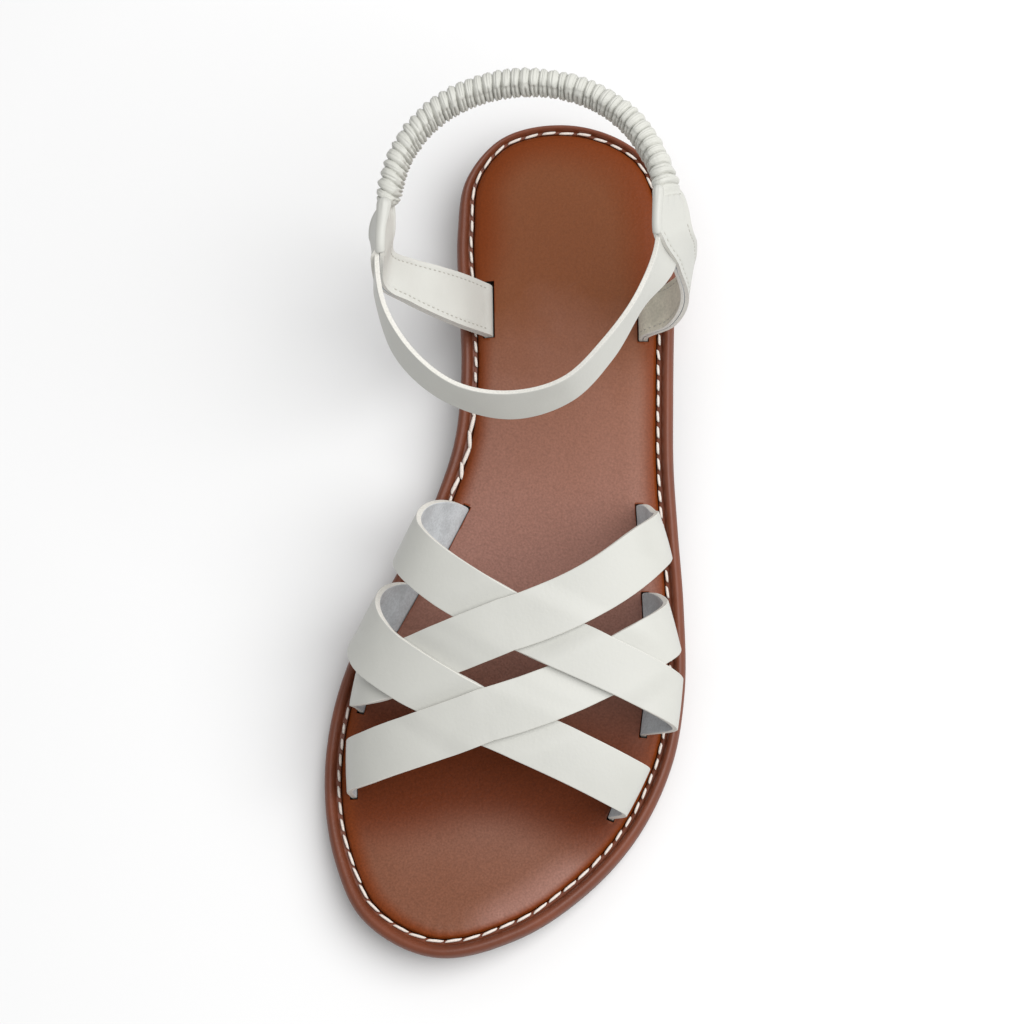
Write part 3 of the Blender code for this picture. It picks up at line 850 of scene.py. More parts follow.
def thread_stitch(shape, centre, ahead, up, length, width, height, slant=0.0):
    """Adds one flat stitch of thread with blunt, slanting ends, its size in millimetres."""
    side = np.cross(up, ahead)
    axes = np.column_stack([ahead * length / 2, side * width / 2, up * height / 2]) * MM
    place = Matrix.Translation(to_metres(centre)) @ Matrix(axes.tolist()).to_4x4()
    made = bmesh.ops.create_uvsphere(shape, u_segments=10, v_segments=6, radius=1.0)
    for vert in made["verts"]:
        blunt = math.copysign(abs(vert.co.x) ** STITCH_BLUNTNESS, vert.co.x)
        vert.co.z -= STITCH_SINK * blunt ** 4
        vert.co.x = blunt + slant * vert.co.y
    bmesh.ops.transform(shape, matrix=place, verts=made["verts"])


def set_inputs(tree, node, inputs):
    """Sets a node's inputs, each to a value or to the output socket that feeds it."""
    for key, value in inputs.items():
        if isinstance(value, bpy.types.NodeSocket):
            tree.links.new(value, node.inputs[key])
        else:
            node.inputs[key].default_value = value


def add_node(tree, kind, inputs=None, ramp=None, **settings):
    """Adds a node with its settings, inputs and, on a colour ramp, its stops."""
    made = tree.nodes.new(kind)
    for key, value in settings.items():
        setattr(made, key, value)
    set_inputs(tree, made, inputs or {})
    if ramp:
        stops = made.color_ramp.elements
        while len(stops) < len(ramp):
            stops.new(1.0)
        for stop, (position, colour) in zip(stops, ramp):
            stop.position = position
            stop.color = colour
    return made


def new_finish(name):
    """New material with its node tree and its Principled shader."""
    finish = bpy.data.materials.new(name)
    finish.use_nodes = True
    return finish, finish.node_tree, finish.node_tree.nodes["Principled BSDF"]


def darker(colour, share):
    """A linear colour with a share of its light."""
    return tuple(value * share for value in colour[:3]) + (1.0,)


def grained_leather(name, code, roughness, grain, depth, shade):
    """Finished cowhide; grain in millimetres across, depth in millimetres, shade of its dark clouds."""
    # Pigment-coated hide: an even satin skin whose pebbles break the shine, and faint clouds of shade.
    # Real pebbles are near 0.3 mm. They are drawn about three times coarser, or they wouldn't show.
    finish, tree, shader = new_finish(name)
    place = add_node(tree, "ShaderNodeTexCoord").outputs["Object"]
    cloud = add_node(tree, "ShaderNodeTexNoise", {"Vector": place, "Scale": per_mm(14), "Detail": 4.0})
    colour = hex_colour(code)
    tone = add_node(tree, "ShaderNodeValToRGB", {"Fac": cloud.outputs["Fac"]},
                    ramp=((0.3, darker(colour, shade)), (0.65, colour)))
    cells = add_node(tree, "ShaderNodeTexVoronoi", {"Vector": place, "Scale": per_mm(grain)},
                     feature="SMOOTH_F1")
    pores = add_node(tree, "ShaderNodeTexNoise", {"Vector": place, "Scale": per_mm(grain * 0.6),
                                                  "Detail": 3.0})
    relief = add_node(tree, "ShaderNodeMath", {0: cells.outputs["Distance"], 1: pores.outputs["Fac"]},
                      operation="ADD")
    bump = add_node(tree, "ShaderNodeBump", {"Strength": 0.5, "Distance": depth * MM,
                                             "Height": relief.outputs[0]})
    sheen = add_node(tree, "ShaderNodeMapRange", {"Value": cloud.outputs["Fac"], 1: 0.3, 2: 0.7,
                                                  3: roughness - 0.05, 4: roughness + 0.06})
    set_inputs(tree, shader, {"Base Color": tone.outputs["Color"], "Roughness": sheen.outputs[0],
                              "Normal": bump.outputs["Normal"]})
    return finish


def napped_leather(name, code):
    """Suede flesh side of split leather."""
    # Buffed short fibres: matt, with no shine, and patches that lie one way or the other.
    # Real fibres are under 0.1 mm. They are drawn at 0.7 mm, or they wouldn't show.
    finish, tree, shader = new_finish(name)
    place = add_node(tree, "ShaderNodeTexCoord").outputs["Object"]
    fibre = add_node(tree, "ShaderNodeTexNoise", {"Vector": place, "Scale": per_mm(0.7), "Detail": 6.0})
    patch = add_node(tree, "ShaderNodeTexNoise", {"Vector": place, "Scale": per_mm(6), "Detail": 3.0})
    both = add_node(tree, "ShaderNodeMath", {0: fibre.outputs["Fac"], 1: patch.outputs["Fac"]},
                    operation="MULTIPLY")
    colour = hex_colour(code)
    tone = add_node(tree, "ShaderNodeValToRGB", {"Fac": both.outputs[0]},
                    ramp=((0.12, darker(colour, 0.72)), (0.36, colour)))
    bump = add_node(tree, "ShaderNodeBump", {"Strength": 0.6, "Distance": 0.12 * MM,
                                             "Height": fibre.outputs["Fac"]})
    set_inputs(tree, shader, {"Base Color": tone.outputs["Color"], "Normal": bump.outputs["Normal"],
                              "Roughness": 0.95, "Sheen Weight": 0.25, "Sheen Roughness": 0.5})
    return finish


def fibrous_finish(name, code, size, detail, dark, stops, strength, depth, roughness):
    """Fine strands of one colour, sizes in millimetres, with the share of light between them."""
    finish, tree, shader = new_finish(name)
    place = add_node(tree, "ShaderNodeTexCoord").outputs["Object"]
    strand = add_node(tree, "ShaderNodeTexNoise", {"Vector": place, "Scale": per_mm(size),
                                                   "Detail": detail})
    colour = hex_colour(code)
    tone = add_node(tree, "ShaderNodeValToRGB", {"Fac": strand.outputs["Fac"]},
                    ramp=((stops[0], darker(colour, dark)), (stops[1], colour)))
    bump = add_node(tree, "ShaderNodeBump", {"Strength": strength, "Distance": depth * MM,
                                             "Height": strand.outputs["Fac"]})
    set_inputs(tree, shader, {"Base Color": tone.outputs["Color"], "Normal": bump.outputs["Normal"],
                              "Roughness": roughness})
    return finish


def cut_leather(name, code):
    """Raw edge of leather cut with a knife."""
    # Packed fibres in section: paler than the grain side, dull and finely mottled.
    # The mottle is drawn at 0.5 mm, coarser than real fibre ends, so that it shows.
    return fibrous_finish(name, code, size=0.5, detail=5.0, dark=0.88, stops=(0.35, 0.55),
                          strength=0.4, depth=0.1, roughness=0.85)


def waxed_thread(name, code):
    """Waxed polyester thread, twisted from plies."""
    # Pale plies with darker lines between them and a dull wax shine.
    # Real plies are near 0.2 mm. They are drawn at 0.45 mm, or they wouldn't show.
    return fibrous_finish(name, code, size=0.45, detail=3.0, dark=0.75, stops=(0.3, 0.5),
                          strength=0.5, depth=0.1, roughness=0.6)


def footbed_leather(name, colours):
    """Waxed tan cowhide of the footbed."""
    # Drum-dyed and hand-burnished: an orange-brown border in the leather's own tone, a rosy waist lit by
    # painted sheen, a warmer heel seat with less of it, painted shade by the front straps, a painted
    # highlight at the lateral toe, and a low wax shine.
    # Real pores are near 0.2 mm. They are drawn at 0.6 mm, or they wouldn't show. The heel is smoother.
    finish, tree, shader = new_finish(name)
    place = add_node(tree, "ShaderNodeTexCoord").outputs["Object"]
    border, shade, painted_highlight = (add_node(tree, "ShaderNodeAttribute", attribute_name=key).outputs["Fac"]
                            for key in ("border", "shade", "painted_highlight"))
    cloud = add_node(tree, "ShaderNodeTexNoise", {"Vector": place, "Scale": per_mm(26), "Detail": 4.0})
    drift = add_node(tree, "ShaderNodeMath", {0: cloud.outputs["Fac"], 1: 8.0, 2: -4.0},
                     operation="MULTIPLY_ADD")
    reach = add_node(tree, "ShaderNodeMath", {0: border, 1: drift.outputs[0]}, operation="ADD")
    inside = add_node(tree, "ShaderNodeMapRange", {"Value": reach.outputs[0], 1: 1.0, 2: 15.0},
                      interpolation_type="SMOOTHSTEP")
    along = add_node(tree, "ShaderNodeSeparateXYZ", {"Vector": place}).outputs["Y"]
    wavy_along = add_node(tree, "ShaderNodeMath", {0: cloud.outputs["Fac"], 1: 40 * MM, 2: along},
                    operation="MULTIPLY_ADD")
    zone = add_node(tree, "ShaderNodeMapRange", {"Value": wavy_along.outputs[0], 1: -105 * MM, 2: 145 * MM})
    # Painted sheen along the sole: lightest and rosiest at the ball and waist, less at the toe and heel,
    # over the leather's own tones
    middle = add_node(tree, "ShaderNodeValToRGB", {"Fac": zone.outputs[0]}, ramp=(
        (0.08, hex_colour(colours.footbed_toe)), (0.46, hex_colour(colours.footbed_ball_and_sheen)),
        (0.68, hex_colour(colours.footbed_shank)), (0.79, hex_colour(colours.footbed_heel))))
    # Painted highlight at the lateral toe edge, mixed towards the sheen-lit ball tone
    pale = add_node(tree, "ShaderNodeMix", {0: painted_highlight, 6: middle.outputs["Color"],
                                            7: hex_colour(colours.footbed_ball_and_sheen)}, data_type="RGBA")
    # Painted shade by the front straps
    painted_shade_tone = add_node(tree, "ShaderNodeMix", {0: shade, 6: pale.outputs[2],
                                            7: hex_colour(colours.footbed_painted_shade)}, data_type="RGBA")
    tone = add_node(tree, "ShaderNodeMix", {0: inside.outputs[0], 6: hex_colour(colours.footbed_edge),
                                            7: painted_shade_tone.outputs[2]}, data_type="RGBA")
    pores = add_node(tree, "ShaderNodeTexNoise", {"Vector": place, "Scale": per_mm(0.6), "Detail": 3.0})
    speck = add_node(tree, "ShaderNodeValToRGB", {"Fac": pores.outputs["Fac"]},
                     ramp=((0.3, (0.84, 0.84, 0.84, 1.0)), (0.7, (1.14, 1.14, 1.14, 1.0))))
    smooth = add_node(tree, "ShaderNodeMapRange", {"Value": along, 1: 10 * MM, 2: 70 * MM,
                                                   3: 1.0, 4: 0.5})
    grain = add_node(tree, "ShaderNodeMix", {0: smooth.outputs[0], 6: tone.outputs[2],
                                             7: speck.outputs["Color"]},
                     data_type="RGBA", blend_type="MULTIPLY")
    cells = add_node(tree, "ShaderNodeTexVoronoi", {"Vector": place, "Scale": per_mm(0.9)},
                     feature="SMOOTH_F1")
    relief = add_node(tree, "ShaderNodeMath", {0: cells.outputs["Distance"], 1: pores.outputs["Fac"]},
                      operation="ADD")
    bump = add_node(tree, "ShaderNodeBump", {"Strength": 0.5, "Distance": 0.12 * MM,
                                             "Height": relief.outputs[0]})
    gloss = add_node(tree, "ShaderNodeMapRange", {"Value": cloud.outputs["Fac"], 1: 0.3, 2: 0.7,
                                                  3: 0.42, 4: 0.52})
    set_inputs(tree, shader, {"Base Color": grain.outputs[2], "Roughness": gloss.outputs[0],
                              "Normal": bump.outputs["Normal"], "Specular IOR Level": 0.15})
    return finish


def moulded_rubber(name, code):
    """Brown rubber pressed in a mould."""
    # Dull satin with a faint grit from the mould, and gloss that varies a little from place to place.
    # The grit is drawn at 1.2 mm, coarser than a mould's real texture, so that it shows.
    finish, tree, shader = new_finish(name)
    place = add_node(tree, "ShaderNodeTexCoord").outputs["Object"]
    grit = add_node(tree, "ShaderNodeTexNoise", {"Vector": place, "Scale": per_mm(1.2), "Detail": 5.0})
    cloud = add_node(tree, "ShaderNodeTexNoise", {"Vector": place, "Scale": per_mm(18), "Detail": 3.0})
    colour = hex_colour(code)
    tone = add_node(tree, "ShaderNodeValToRGB", {"Fac": cloud.outputs["Fac"]},
                    ramp=((0.3, darker(colour, 0.8)), (0.7, colour)))
    bump = add_node(tree, "ShaderNodeBump", {"Strength": 0.3, "Distance": 0.08 * MM,
                                             "Height": grit.outputs["Fac"]})
    gloss = add_node(tree, "ShaderNodeMapRange", {"Value": grit.outputs["Fac"], 1: 0.3, 2: 0.7,
                                                  3: 0.5, 4: 0.66})
    set_inputs(tree, shader, {"Base Color": tone.outputs["Color"], "Roughness": gloss.outputs[0],
                              "Normal": bump.outputs["Normal"]})
    return finish


def studio_paper(name, code):
    """Background paper of a photo studio."""
    # Uncoated stock: even, matt and without a shine.
    finish, tree, shader = new_finish(name)
    set_inputs(tree, shader, {"Base Color": hex_colour(code), "Roughness": 0.9,
                              "Specular IOR Level": 0.1})
    return finish


def strap_finishes(colours):
    """Grain side, flesh side and cut edge of the white leather, made once."""
    made = bpy.data.materials.get("white_grain_leather")
    if made is None:
        made = grained_leather("white_grain_leather", colours.straps,
                               roughness=0.46, grain=1.0, depth=0.05, shade=0.95)
        napped_leather("white_flesh_suede", colours.flesh)
        cut_leather("white_cut_edge", colours.cut_edge)
    return [made, bpy.data.materials["white_flesh_suede"], bpy.data.materials["white_cut_edge"]]


class SANDAL_OT_outsole(bpy.types.Operator):
    """Rubber outsole with a grooved tread, and the low heel under it"""

    bl_idname = "sandal.outsole"
    bl_label = "Outsole and heel"

    def execute(self, context):
        sizes = context.scene.sandal_sizes
        rubber = moulded_rubber("moulded_rubber", context.scene.sandal_colours.rubber)
        depth = sizes.tread_depth / MM

        def tread(plan, inset, clear):
            edge = border_of(plan, inset)[0]
            turn = plan[:, 1] * 2 * np.pi / TREAD_PITCH + TREAD_SWING * np.sin(plan[:, 0] / TREAD_REACH)
            wall = smoothstep(*TREAD_WALL, np.sin(turn))
            groove = depth * wall * smoothstep(*TREAD_BORDER, edge) * clear
            near = np.clip(1 - edge / LOWER_EDGE, 0, 1)
            return groove + LOWER_EDGE * (1 - np.sqrt(1 - near ** 2))

        def underside(along, across):
            plan = across_sole(along, across, OUTSOLE_INSET)
            ball = smoothstep(*BALL_TREAD_END, plan[:, 1])
            return np.column_stack([plan, sole_rise(plan[:, 1]) + tread(plan, OUTSOLE_INSET, ball)])

        def heel_underside(along, across):
            plan = heel_plan(along, across)
            clear = smoothstep(*HEEL_TREAD_START, plan[:, 1])
            return np.column_stack([plan, tread(plan, LIFT_INSET, clear)])

        def sole_top(y):
            return sole_rise(y) + OUTSOLE_THICK

        def heel_top(y):
            return HEEL_HEIGHT - FIT_GAP

        for name, columns, rows, place, top in (
            ("outsole", 420, 56, underside, sole_top),
            ("heel_lift", 120, 64, heel_underside, heel_top),
        ):
            shape = sheet(columns, rows, place)
            second_skin(shape, top)
            put(name, shape, name, [rubber])
        return {"FINISHED"}


class SANDAL_OT_rim(bpy.types.Operator):
    """Rolled leather band round the sole, with the groove that the stitching lies in"""

    bl_idname = "sandal.rim"
    bl_label = "Rim"

    def execute(self, context):
        section = np.array(RIM_SECTION + RIM_SECTION[:1])
        knots = walk(section)

        def place(along, around):
            spot = cubic(knots, section, around * knots[-1])
            plan = outline_point(along % 1.0, spot[:, 0])
            return np.column_stack([plan, sole_rise(plan[:, 1]) + OUTSOLE_THICK + spot[:, 1]])

        shape = sheet(640, 44, place)
        bmesh.ops.recalc_face_normals(shape, faces=shape.faces)
        leather = grained_leather("rolled_rim_leather", context.scene.sandal_colours.rim,
                                  roughness=0.50, grain=0.9, depth=0.10, shade=0.75)
        put("rim", shape, "rim", [leather])
        return {"FINISHED"}


class SANDAL_OT_footbed(bpy.types.Operator):
    """Padded leather footbed with a slot for each strap end"""

    bl_idname = "sandal.footbed"
    bl_label = "Footbed"

    def execute(self, context):
        colours = context.scene.sandal_colours
        pitch = context.scene.sandal_sizes.stitch_pitch / MM
        distances, heights = np.array(INSOLE_EDGE).T
        turns = round(walk(outline_point(np.linspace(0, 1, 900), INSOLE_INSET))[-1] / pitch)

        def place(along, across):
            plan = across_sole(along, across, INSOLE_INSET, INSOLE_GAP)
            border, share = border_of(plan, INSOLE_INSET, INSOLE_GAP)
            toe = smoothstep(*PUCKER_TOE, plan[:, 1])
            tall = PUCKER_HEIGHT + TOE_PUCKER_HEIGHT * toe
            reach = PUCKER_REACH + TOE_PUCKER_REACH * toe
            pucker = tall * np.cos(2 * np.pi * turns * share) * np.exp(-border / reach)
            height = cubic(distances, heights, np.clip(border, 0, distances[-1])) + pucker
            return np.column_stack([plan, sole_rise(plan[:, 1]) + OUTSOLE_THICK + height])

        shape = sheet(280, 110, place)
        face_away(shape, (0.0, 0.0, -400.0))
        spots = np.array([vert.co for vert in shape.verts])
        plan = (spots - SOLE_SHIFT)[:, :2] / MM
        narrow = BORDER_NARROWING + (1 - BORDER_NARROWING) * smoothstep(*BORDER_ZONE, plan[:, 1])
        # Painted sheen at the lateral toe narrows the dark border
        toe_sheen = smoothstep(*TOE_SHEEN_ACROSS, plan[:, 0]) * smoothstep(*TOE_SHEEN_ALONG, plan[:, 1])
        edge = border_of(plan, INSOLE_INSET, INSOLE_GAP)[0]
        # Painted highlight along the lateral toe edge
        painted_highlight = TOE_HIGHLIGHT_SHARE * (1 - smoothstep(*TOE_HIGHLIGHT_REACH, edge))
        painted_highlight = painted_highlight * smoothstep(*TOE_HIGHLIGHT_ACROSS, plan[:, 0]) * smoothstep(*TOE_HIGHLIGHT_ALONG, plan[:, 1])
        border = edge * (narrow + TOE_SHEEN_NARROWING * toe_sheen)
        # The shade attribute holds painted shade by the front straps
        for key, values in (("border", border), ("shade", painted_strap_shade(plan)), ("painted_highlight", painted_highlight)):
            layer = shape.verts.layers.float.new(key)
            for vert, value in zip(shape.verts, values):
                vert[layer] = value
        second_skin(shape, lambda y: sole_rise(y) + OUTSOLE_THICK + FIT_GAP, keep=True)
        leather = footbed_leather("waxed_tan_leather", colours)
        slot_wall = moulded_rubber("slot_board", colours.slot_wall)
        piece = put("insole", shape, "insole", [leather, slot_wall])
        cutter = self.slot_cutter(slot_wall)
        cut = piece.modifiers.new("slots", "BOOLEAN")
        cut.operation = "DIFFERENCE"
        cut.solver = "EXACT"
        cut.material_mode = "TRANSFER"
        cut.object = cutter
        bake(piece)
        bpy.data.objects.remove(cutter, do_unlink=True)
        piece.data.set_sharp_from_angle(angle=SHARP_ANGLE)
        return {"FINISHED"}

    def slot_cutter(self, finish):
        """Boxes that cut every slot, as one object."""
        shape = bmesh.new()
        ends = []
        for name in STRAP_ROWS:
            for end in (0.0, 1.0):
                across = strap_point(name, np.array([end, end]), np.array([0.0, 1.0]))
                ends.append((across[0], across[1], STRAP_SLOT, STRAP_SLOT_ROOM))
        for node, rows in TAB_ROWS.items():
            ends.append((np.array(rows[0][:3]), np.array(rows[0][3:]), TAB_SLOT, TAB_SLOT_ROOM[node]))
        for front, rear, thick, (toe, heel, medial, lateral) in ends:
            side = unit((rear - front) * (1, 1, 0))
            wide = np.array([side[1], -side[0], 0.0])
            size = (np.linalg.norm(rear - front) + toe + heel, thick + medial + lateral, SLOT_HEIGHT)
            axes = np.column_stack([side, wide, (0.0, 0.0, -1.0)]) * size * MM
            middle = (front + rear) / 2 + side * (heel - toe) / 2 + wide * (lateral - medial) / 2
            place = Matrix.Translation(to_metres(middle)) @ Matrix(axes.tolist()).to_4x4()
            bmesh.ops.create_cube(shape, size=1.0, matrix=place)
        return link_mesh("slot_cutter", shape, [finish])


class SANDAL_OT_sole_stitching(bpy.types.Operator):
    """White stitches in the groove between the rim and the footbed"""

    bl_idname = "sandal.sole_stitching"
    bl_label = "Sole stitching"

    def execute(self, context):
        sizes = context.scene.sandal_sizes
        shares = np.linspace(0, 1, OUTLINE_STEPS)
        dense = outline_point(shares, STITCH_INSET)
        spacing = STITCH_SPACING + END_SPACING * smoothstep(*STITCH_ENDS, np.abs(dense[:, 1]))
        step = np.linalg.norm(np.diff(dense, axis=0), axis=1) / spacing[1:]
        walked = np.concatenate([[0.0], np.cumsum(step)])
        count = round(walked[-1] * MM / sizes.stitch_pitch)
        chance = np.random.default_rng(11)
        shape = bmesh.new()
        for i in range(count):
            share = np.interp((i + 0.5) / count * walked[-1], walked, shares)
            three = np.array([share - SHARE_STEP, share, share + SHARE_STEP]) % 1.0
            near = outline_point(three, STITCH_INSET)
            spots = np.column_stack([near, sole_rise(near[:, 1]) + OUTSOLE_THICK + STITCH_HEIGHT])
            ahead = unit(spots[2] - spots[0])
            up = unit(np.cross(ahead, (ahead[1], -ahead[0], 0.0)) * -1)
            up = up if up[2] > 0 else -up
            side = np.cross(up, ahead)
            loose = 1.0 if share < 0.5 and WAVY_WAIST[0] < near[1, 1] < WAVY_WAIST[1] else 0.0
            sway = WAVY_TURN if i % 2 else -WAVY_TURN
            turn = STITCH_LEAN + chance.normal(0, TURN_STRAY) + loose * sway
            ahead = unit(ahead + side * turn)
            room = sizes.stitch_pitch / MM * np.interp(share, shares, spacing)
            toe_loss = TOE_GAP_LOSS * smoothstep(*TOE_GAP_ZONE, near[1, 1])
            gap = sizes.stitch_gap / MM * (1 - toe_loss - WAVY_GAP_LOSS * loose)
            length = room - gap + chance.normal(0, LENGTH_STRAY)
            aside = chance.normal(0, SIDE_STRAY + WAVY_STRAY * loose)
            width = sizes.thread_width / MM * (1 + WAVY_WIDENING * loose)
            centre = spots[1] + side * aside
            thread_stitch(shape, centre, ahead, up, length, width, STITCH_RISE, STITCH_SLANT)
        thread = waxed_thread("waxed_thread", context.scene.sandal_colours.thread)
        put("sole_stitching", shape, "rim", [thread])
        return {"FINISHED"}


class SANDAL_OT_forefoot_straps(bpy.types.Operator):
    """Four leather straps woven over and under each other"""

    bl_idname = "sandal.forefoot_straps"
    bl_label = "Forefoot straps"

    def execute(self, context):
        sizes = context.scene.sandal_sizes
        finishes = strap_finishes(context.scene.sandal_colours)
        lift = sizes.strap_thickness / MM / 2 + LEATHER_GAP
        for name in STRAP_ROWS:
            shape = sheet(220, 24, lambda along, across: strap_point(
                name, along, across, lift, STRAP_CROWN))
            face_away(shape, FOOT_MIDDLE)
            piece = put(name, shape, "forefoot_straps", finishes)
            thicken(piece, sizes.strap_thickness, STRAP_EASE)
        return {"FINISHED"}


class SANDAL_OT_heel_tabs(bpy.types.Operator):
    """Two heel tabs, each of two stitched leathers with a rounded fold at the top of the ring"""

    bl_idname = "sandal.heel_tabs"
    bl_label = "Heel tabs"

    def execute(self, context):
        sizes = context.scene.sandal_sizes
        colours = context.scene.sandal_colours
        grain, flesh, edge = strap_finishes(colours)
        lining = napped_leather("taupe_lining_suede", colours.lining)
        # Painted light: the medial tab's inside is a lighter copy of the straps' leather
        painted_lighter_face = grained_leather("white_tab_leather_painted_lighter", colours.tab_face_painted_lighter,
                                 roughness=0.46, grain=1.0, depth=0.05, shade=0.95)
        shows = {("inner", "heel_tab_lateral"): lining, ("inner", "heel_tab_medial"): painted_lighter_face}
        # Thread painted grey for the shade in the stitch holes
        thread = waxed_thread("grey_tab_thread_painted_shade", colours.tab_thread_and_shade)
        for node in TAB_ROWS:
            for face, way in (("outer", 1), ("inner", -1)):
                shape = sheet(150, 40, lambda along, across: self.layer_point(
                    sizes, node, along, across, way))
                face_away(shape, ANKLE_MIDDLE)
                if face == "inner":
                    bmesh.ops.reverse_faces(shape, faces=shape.faces)
                piece = put(f"{node}_{face}", shape, node, [shows.get((face, node), grain), flesh, edge])
                thicken(piece, sizes.tab_layer, TAB_EASE)
            self.fold(node, grain)
            self.stitch(node, sizes, thread)
        return {"FINISHED"}

    def layer_point(self, sizes, node, along, across, way):
        """Point of one leather: spread round the elastic, sunk a little along its two stitch lines."""
        rows = TAB_ROWS[node]
        fold = fold_start(rows)
        first, second = band_edges(rows, along)
        edge = np.minimum(across, 1 - across) * np.linalg.norm(second - first, axis=1)
        sink = TROUGH_DEPTH * np.exp(-((edge - TAB_STITCH_INSET) / TROUGH_WIDTH) ** 2)
        sink = sink * smoothstep(*TROUGH_START, along)
        face = 0 if way > 0 else 1
        casing = smoothstep(fold - CASING_BEFORE[face], fold + CASING_PAST[face], along)
        past = np.clip((along - fold) / (1 - fold), 0, 1)
        loss = TAB_SWELL[node][2] * past ** 3
        swell = TAB_SWELL[node][face] * across ** CASING_ROUNDNESS * (1 - loss)
        shut = fold - MOUTH_SHUTS[face]
        mouth = smoothstep(fold - MOUTH_OPENS[0], fold - MOUTH_OPENS[1], along)
        mouth = mouth * (1 - smoothstep(shut, shut + MOUTH_CLOSING[face], along))
        gather = TAB_RIPPLE * np.cos(across * TAB_RIPPLE_TURN) * smoothstep(*TAB_RIPPLE_ZONE, along)
        parting = TAB_MOUTH[node][face] * mouth * (1 - across)
        spread = sizes.tab_layer / MM / 2 + LEATHER_GAP + casing * swell + parting + gather
        return band_point(rows, along, across, way * (spread - sink))

    def fold(self, node, finish):
        """Rounded fold that joins the two leathers along the top of the ring."""
        rows = TAB_ROWS[node]
        fold = fold_start(rows)
        thick, drop, flare, lean = TAB_FOLD[node]

        def place(along, around):
            spot = fold + (FOLD_END - fold) * along
            first, second = band_edges(rows, spot)
            down = unit(second - first)
            outward = band_point(rows, spot, np.zeros(len(spot)), 1.0) - first
            start = np.sqrt(1 - (1 - np.clip(along / FOLD_START, 0, 1)) ** 2)
            tucked = np.clip((along - FOLD_TUCK) / (1 - FOLD_TUCK), 0, 1)
            tuck = np.sqrt(1 - TUCK_LOSS * tucked ** 2)
            late = smoothstep(*FOLD_FLARE, along)
            wave = FOLD_PUCKER * np.cos(2 * FOLD_PUCKERS * np.pi * around)
            pucker = 1 + wave * smoothstep(*FOLD_PUCKER_ZONE, along)
            radius = thick * (1 + flare * late) * start * tuck * pucker
            angle = (2 * np.pi * around)[:, None]
            ring = outward * np.sin(angle) - down * np.cos(angle)
            return first + down * drop - outward * (lean * late)[:, None] + ring * radius[:, None]

        shape = sheet(60, 28, place)
        bmesh.ops.holes_fill(shape, edges=shape.edges, sides=0)
        bmesh.ops.recalc_face_normals(shape, faces=shape.faces)
        put(f"{node}_fold", shape, node, [finish], ALL_SMOOTH)

    def stitch(self, node, sizes, finish):
        """Tone-on-tone stitches along both edges of both faces, their white thread painted grey for the
        shade in the stitch holes.
        """
        rows = TAB_ROWS[node]
        fold = fold_start(rows)
        shape = bmesh.new()
        count = int(band_length(rows) * MM / sizes.tab_stitch_pitch)
        for along in (np.arange(count) + 0.5) / count:
            if TAB_STITCH_START < along < fold:
                first, second = band_edges(rows, np.array([along]))
                inset = TAB_STITCH_INSET / np.linalg.norm(second - first)
                for across in (inset, 1 - inset):
                    spots = np.array([along - TAB_STITCH_STEP, along, min(along + TAB_STITCH_STEP, 1.0)])
                    for way in (1, -1):
                        line = self.layer_point(sizes, node, spots, np.full(3, across), way)
                        middle = band_point(rows, spots, np.full(3, across))
                        up = unit(line[1] - middle[1])
                        ahead = unit(line[2] - line[0])
                        centre = line[1] + up * (sizes.tab_layer / MM / 2 + TAB_STITCH_PROUD)
                        thread_stitch(shape, centre, ahead, up, *TAB_STITCH)
        put(f"{node}_stitching", shape, node, [finish])


class SANDAL_OT_front_strap(bpy.types.Operator):
    """Narrow leather strap across the front of the ankle"""

    bl_idname = "sandal.front_strap"
    bl_label = "Front ankle strap"

    def execute(self, context):
        sizes = context.scene.sandal_sizes
        shape = sheet(220, 18, lambda along, across: band_point(FRONT_ROWS, along, across))
        face_away(shape, ANKLE_MIDDLE)
        finishes = strap_finishes(context.scene.sandal_colours)
        piece = put("ankle_strap_front", shape, "ankle_strap_front", finishes)
        thicken(piece, sizes.front_thickness, STRAP_EASE)
        return {"FINISHED"}


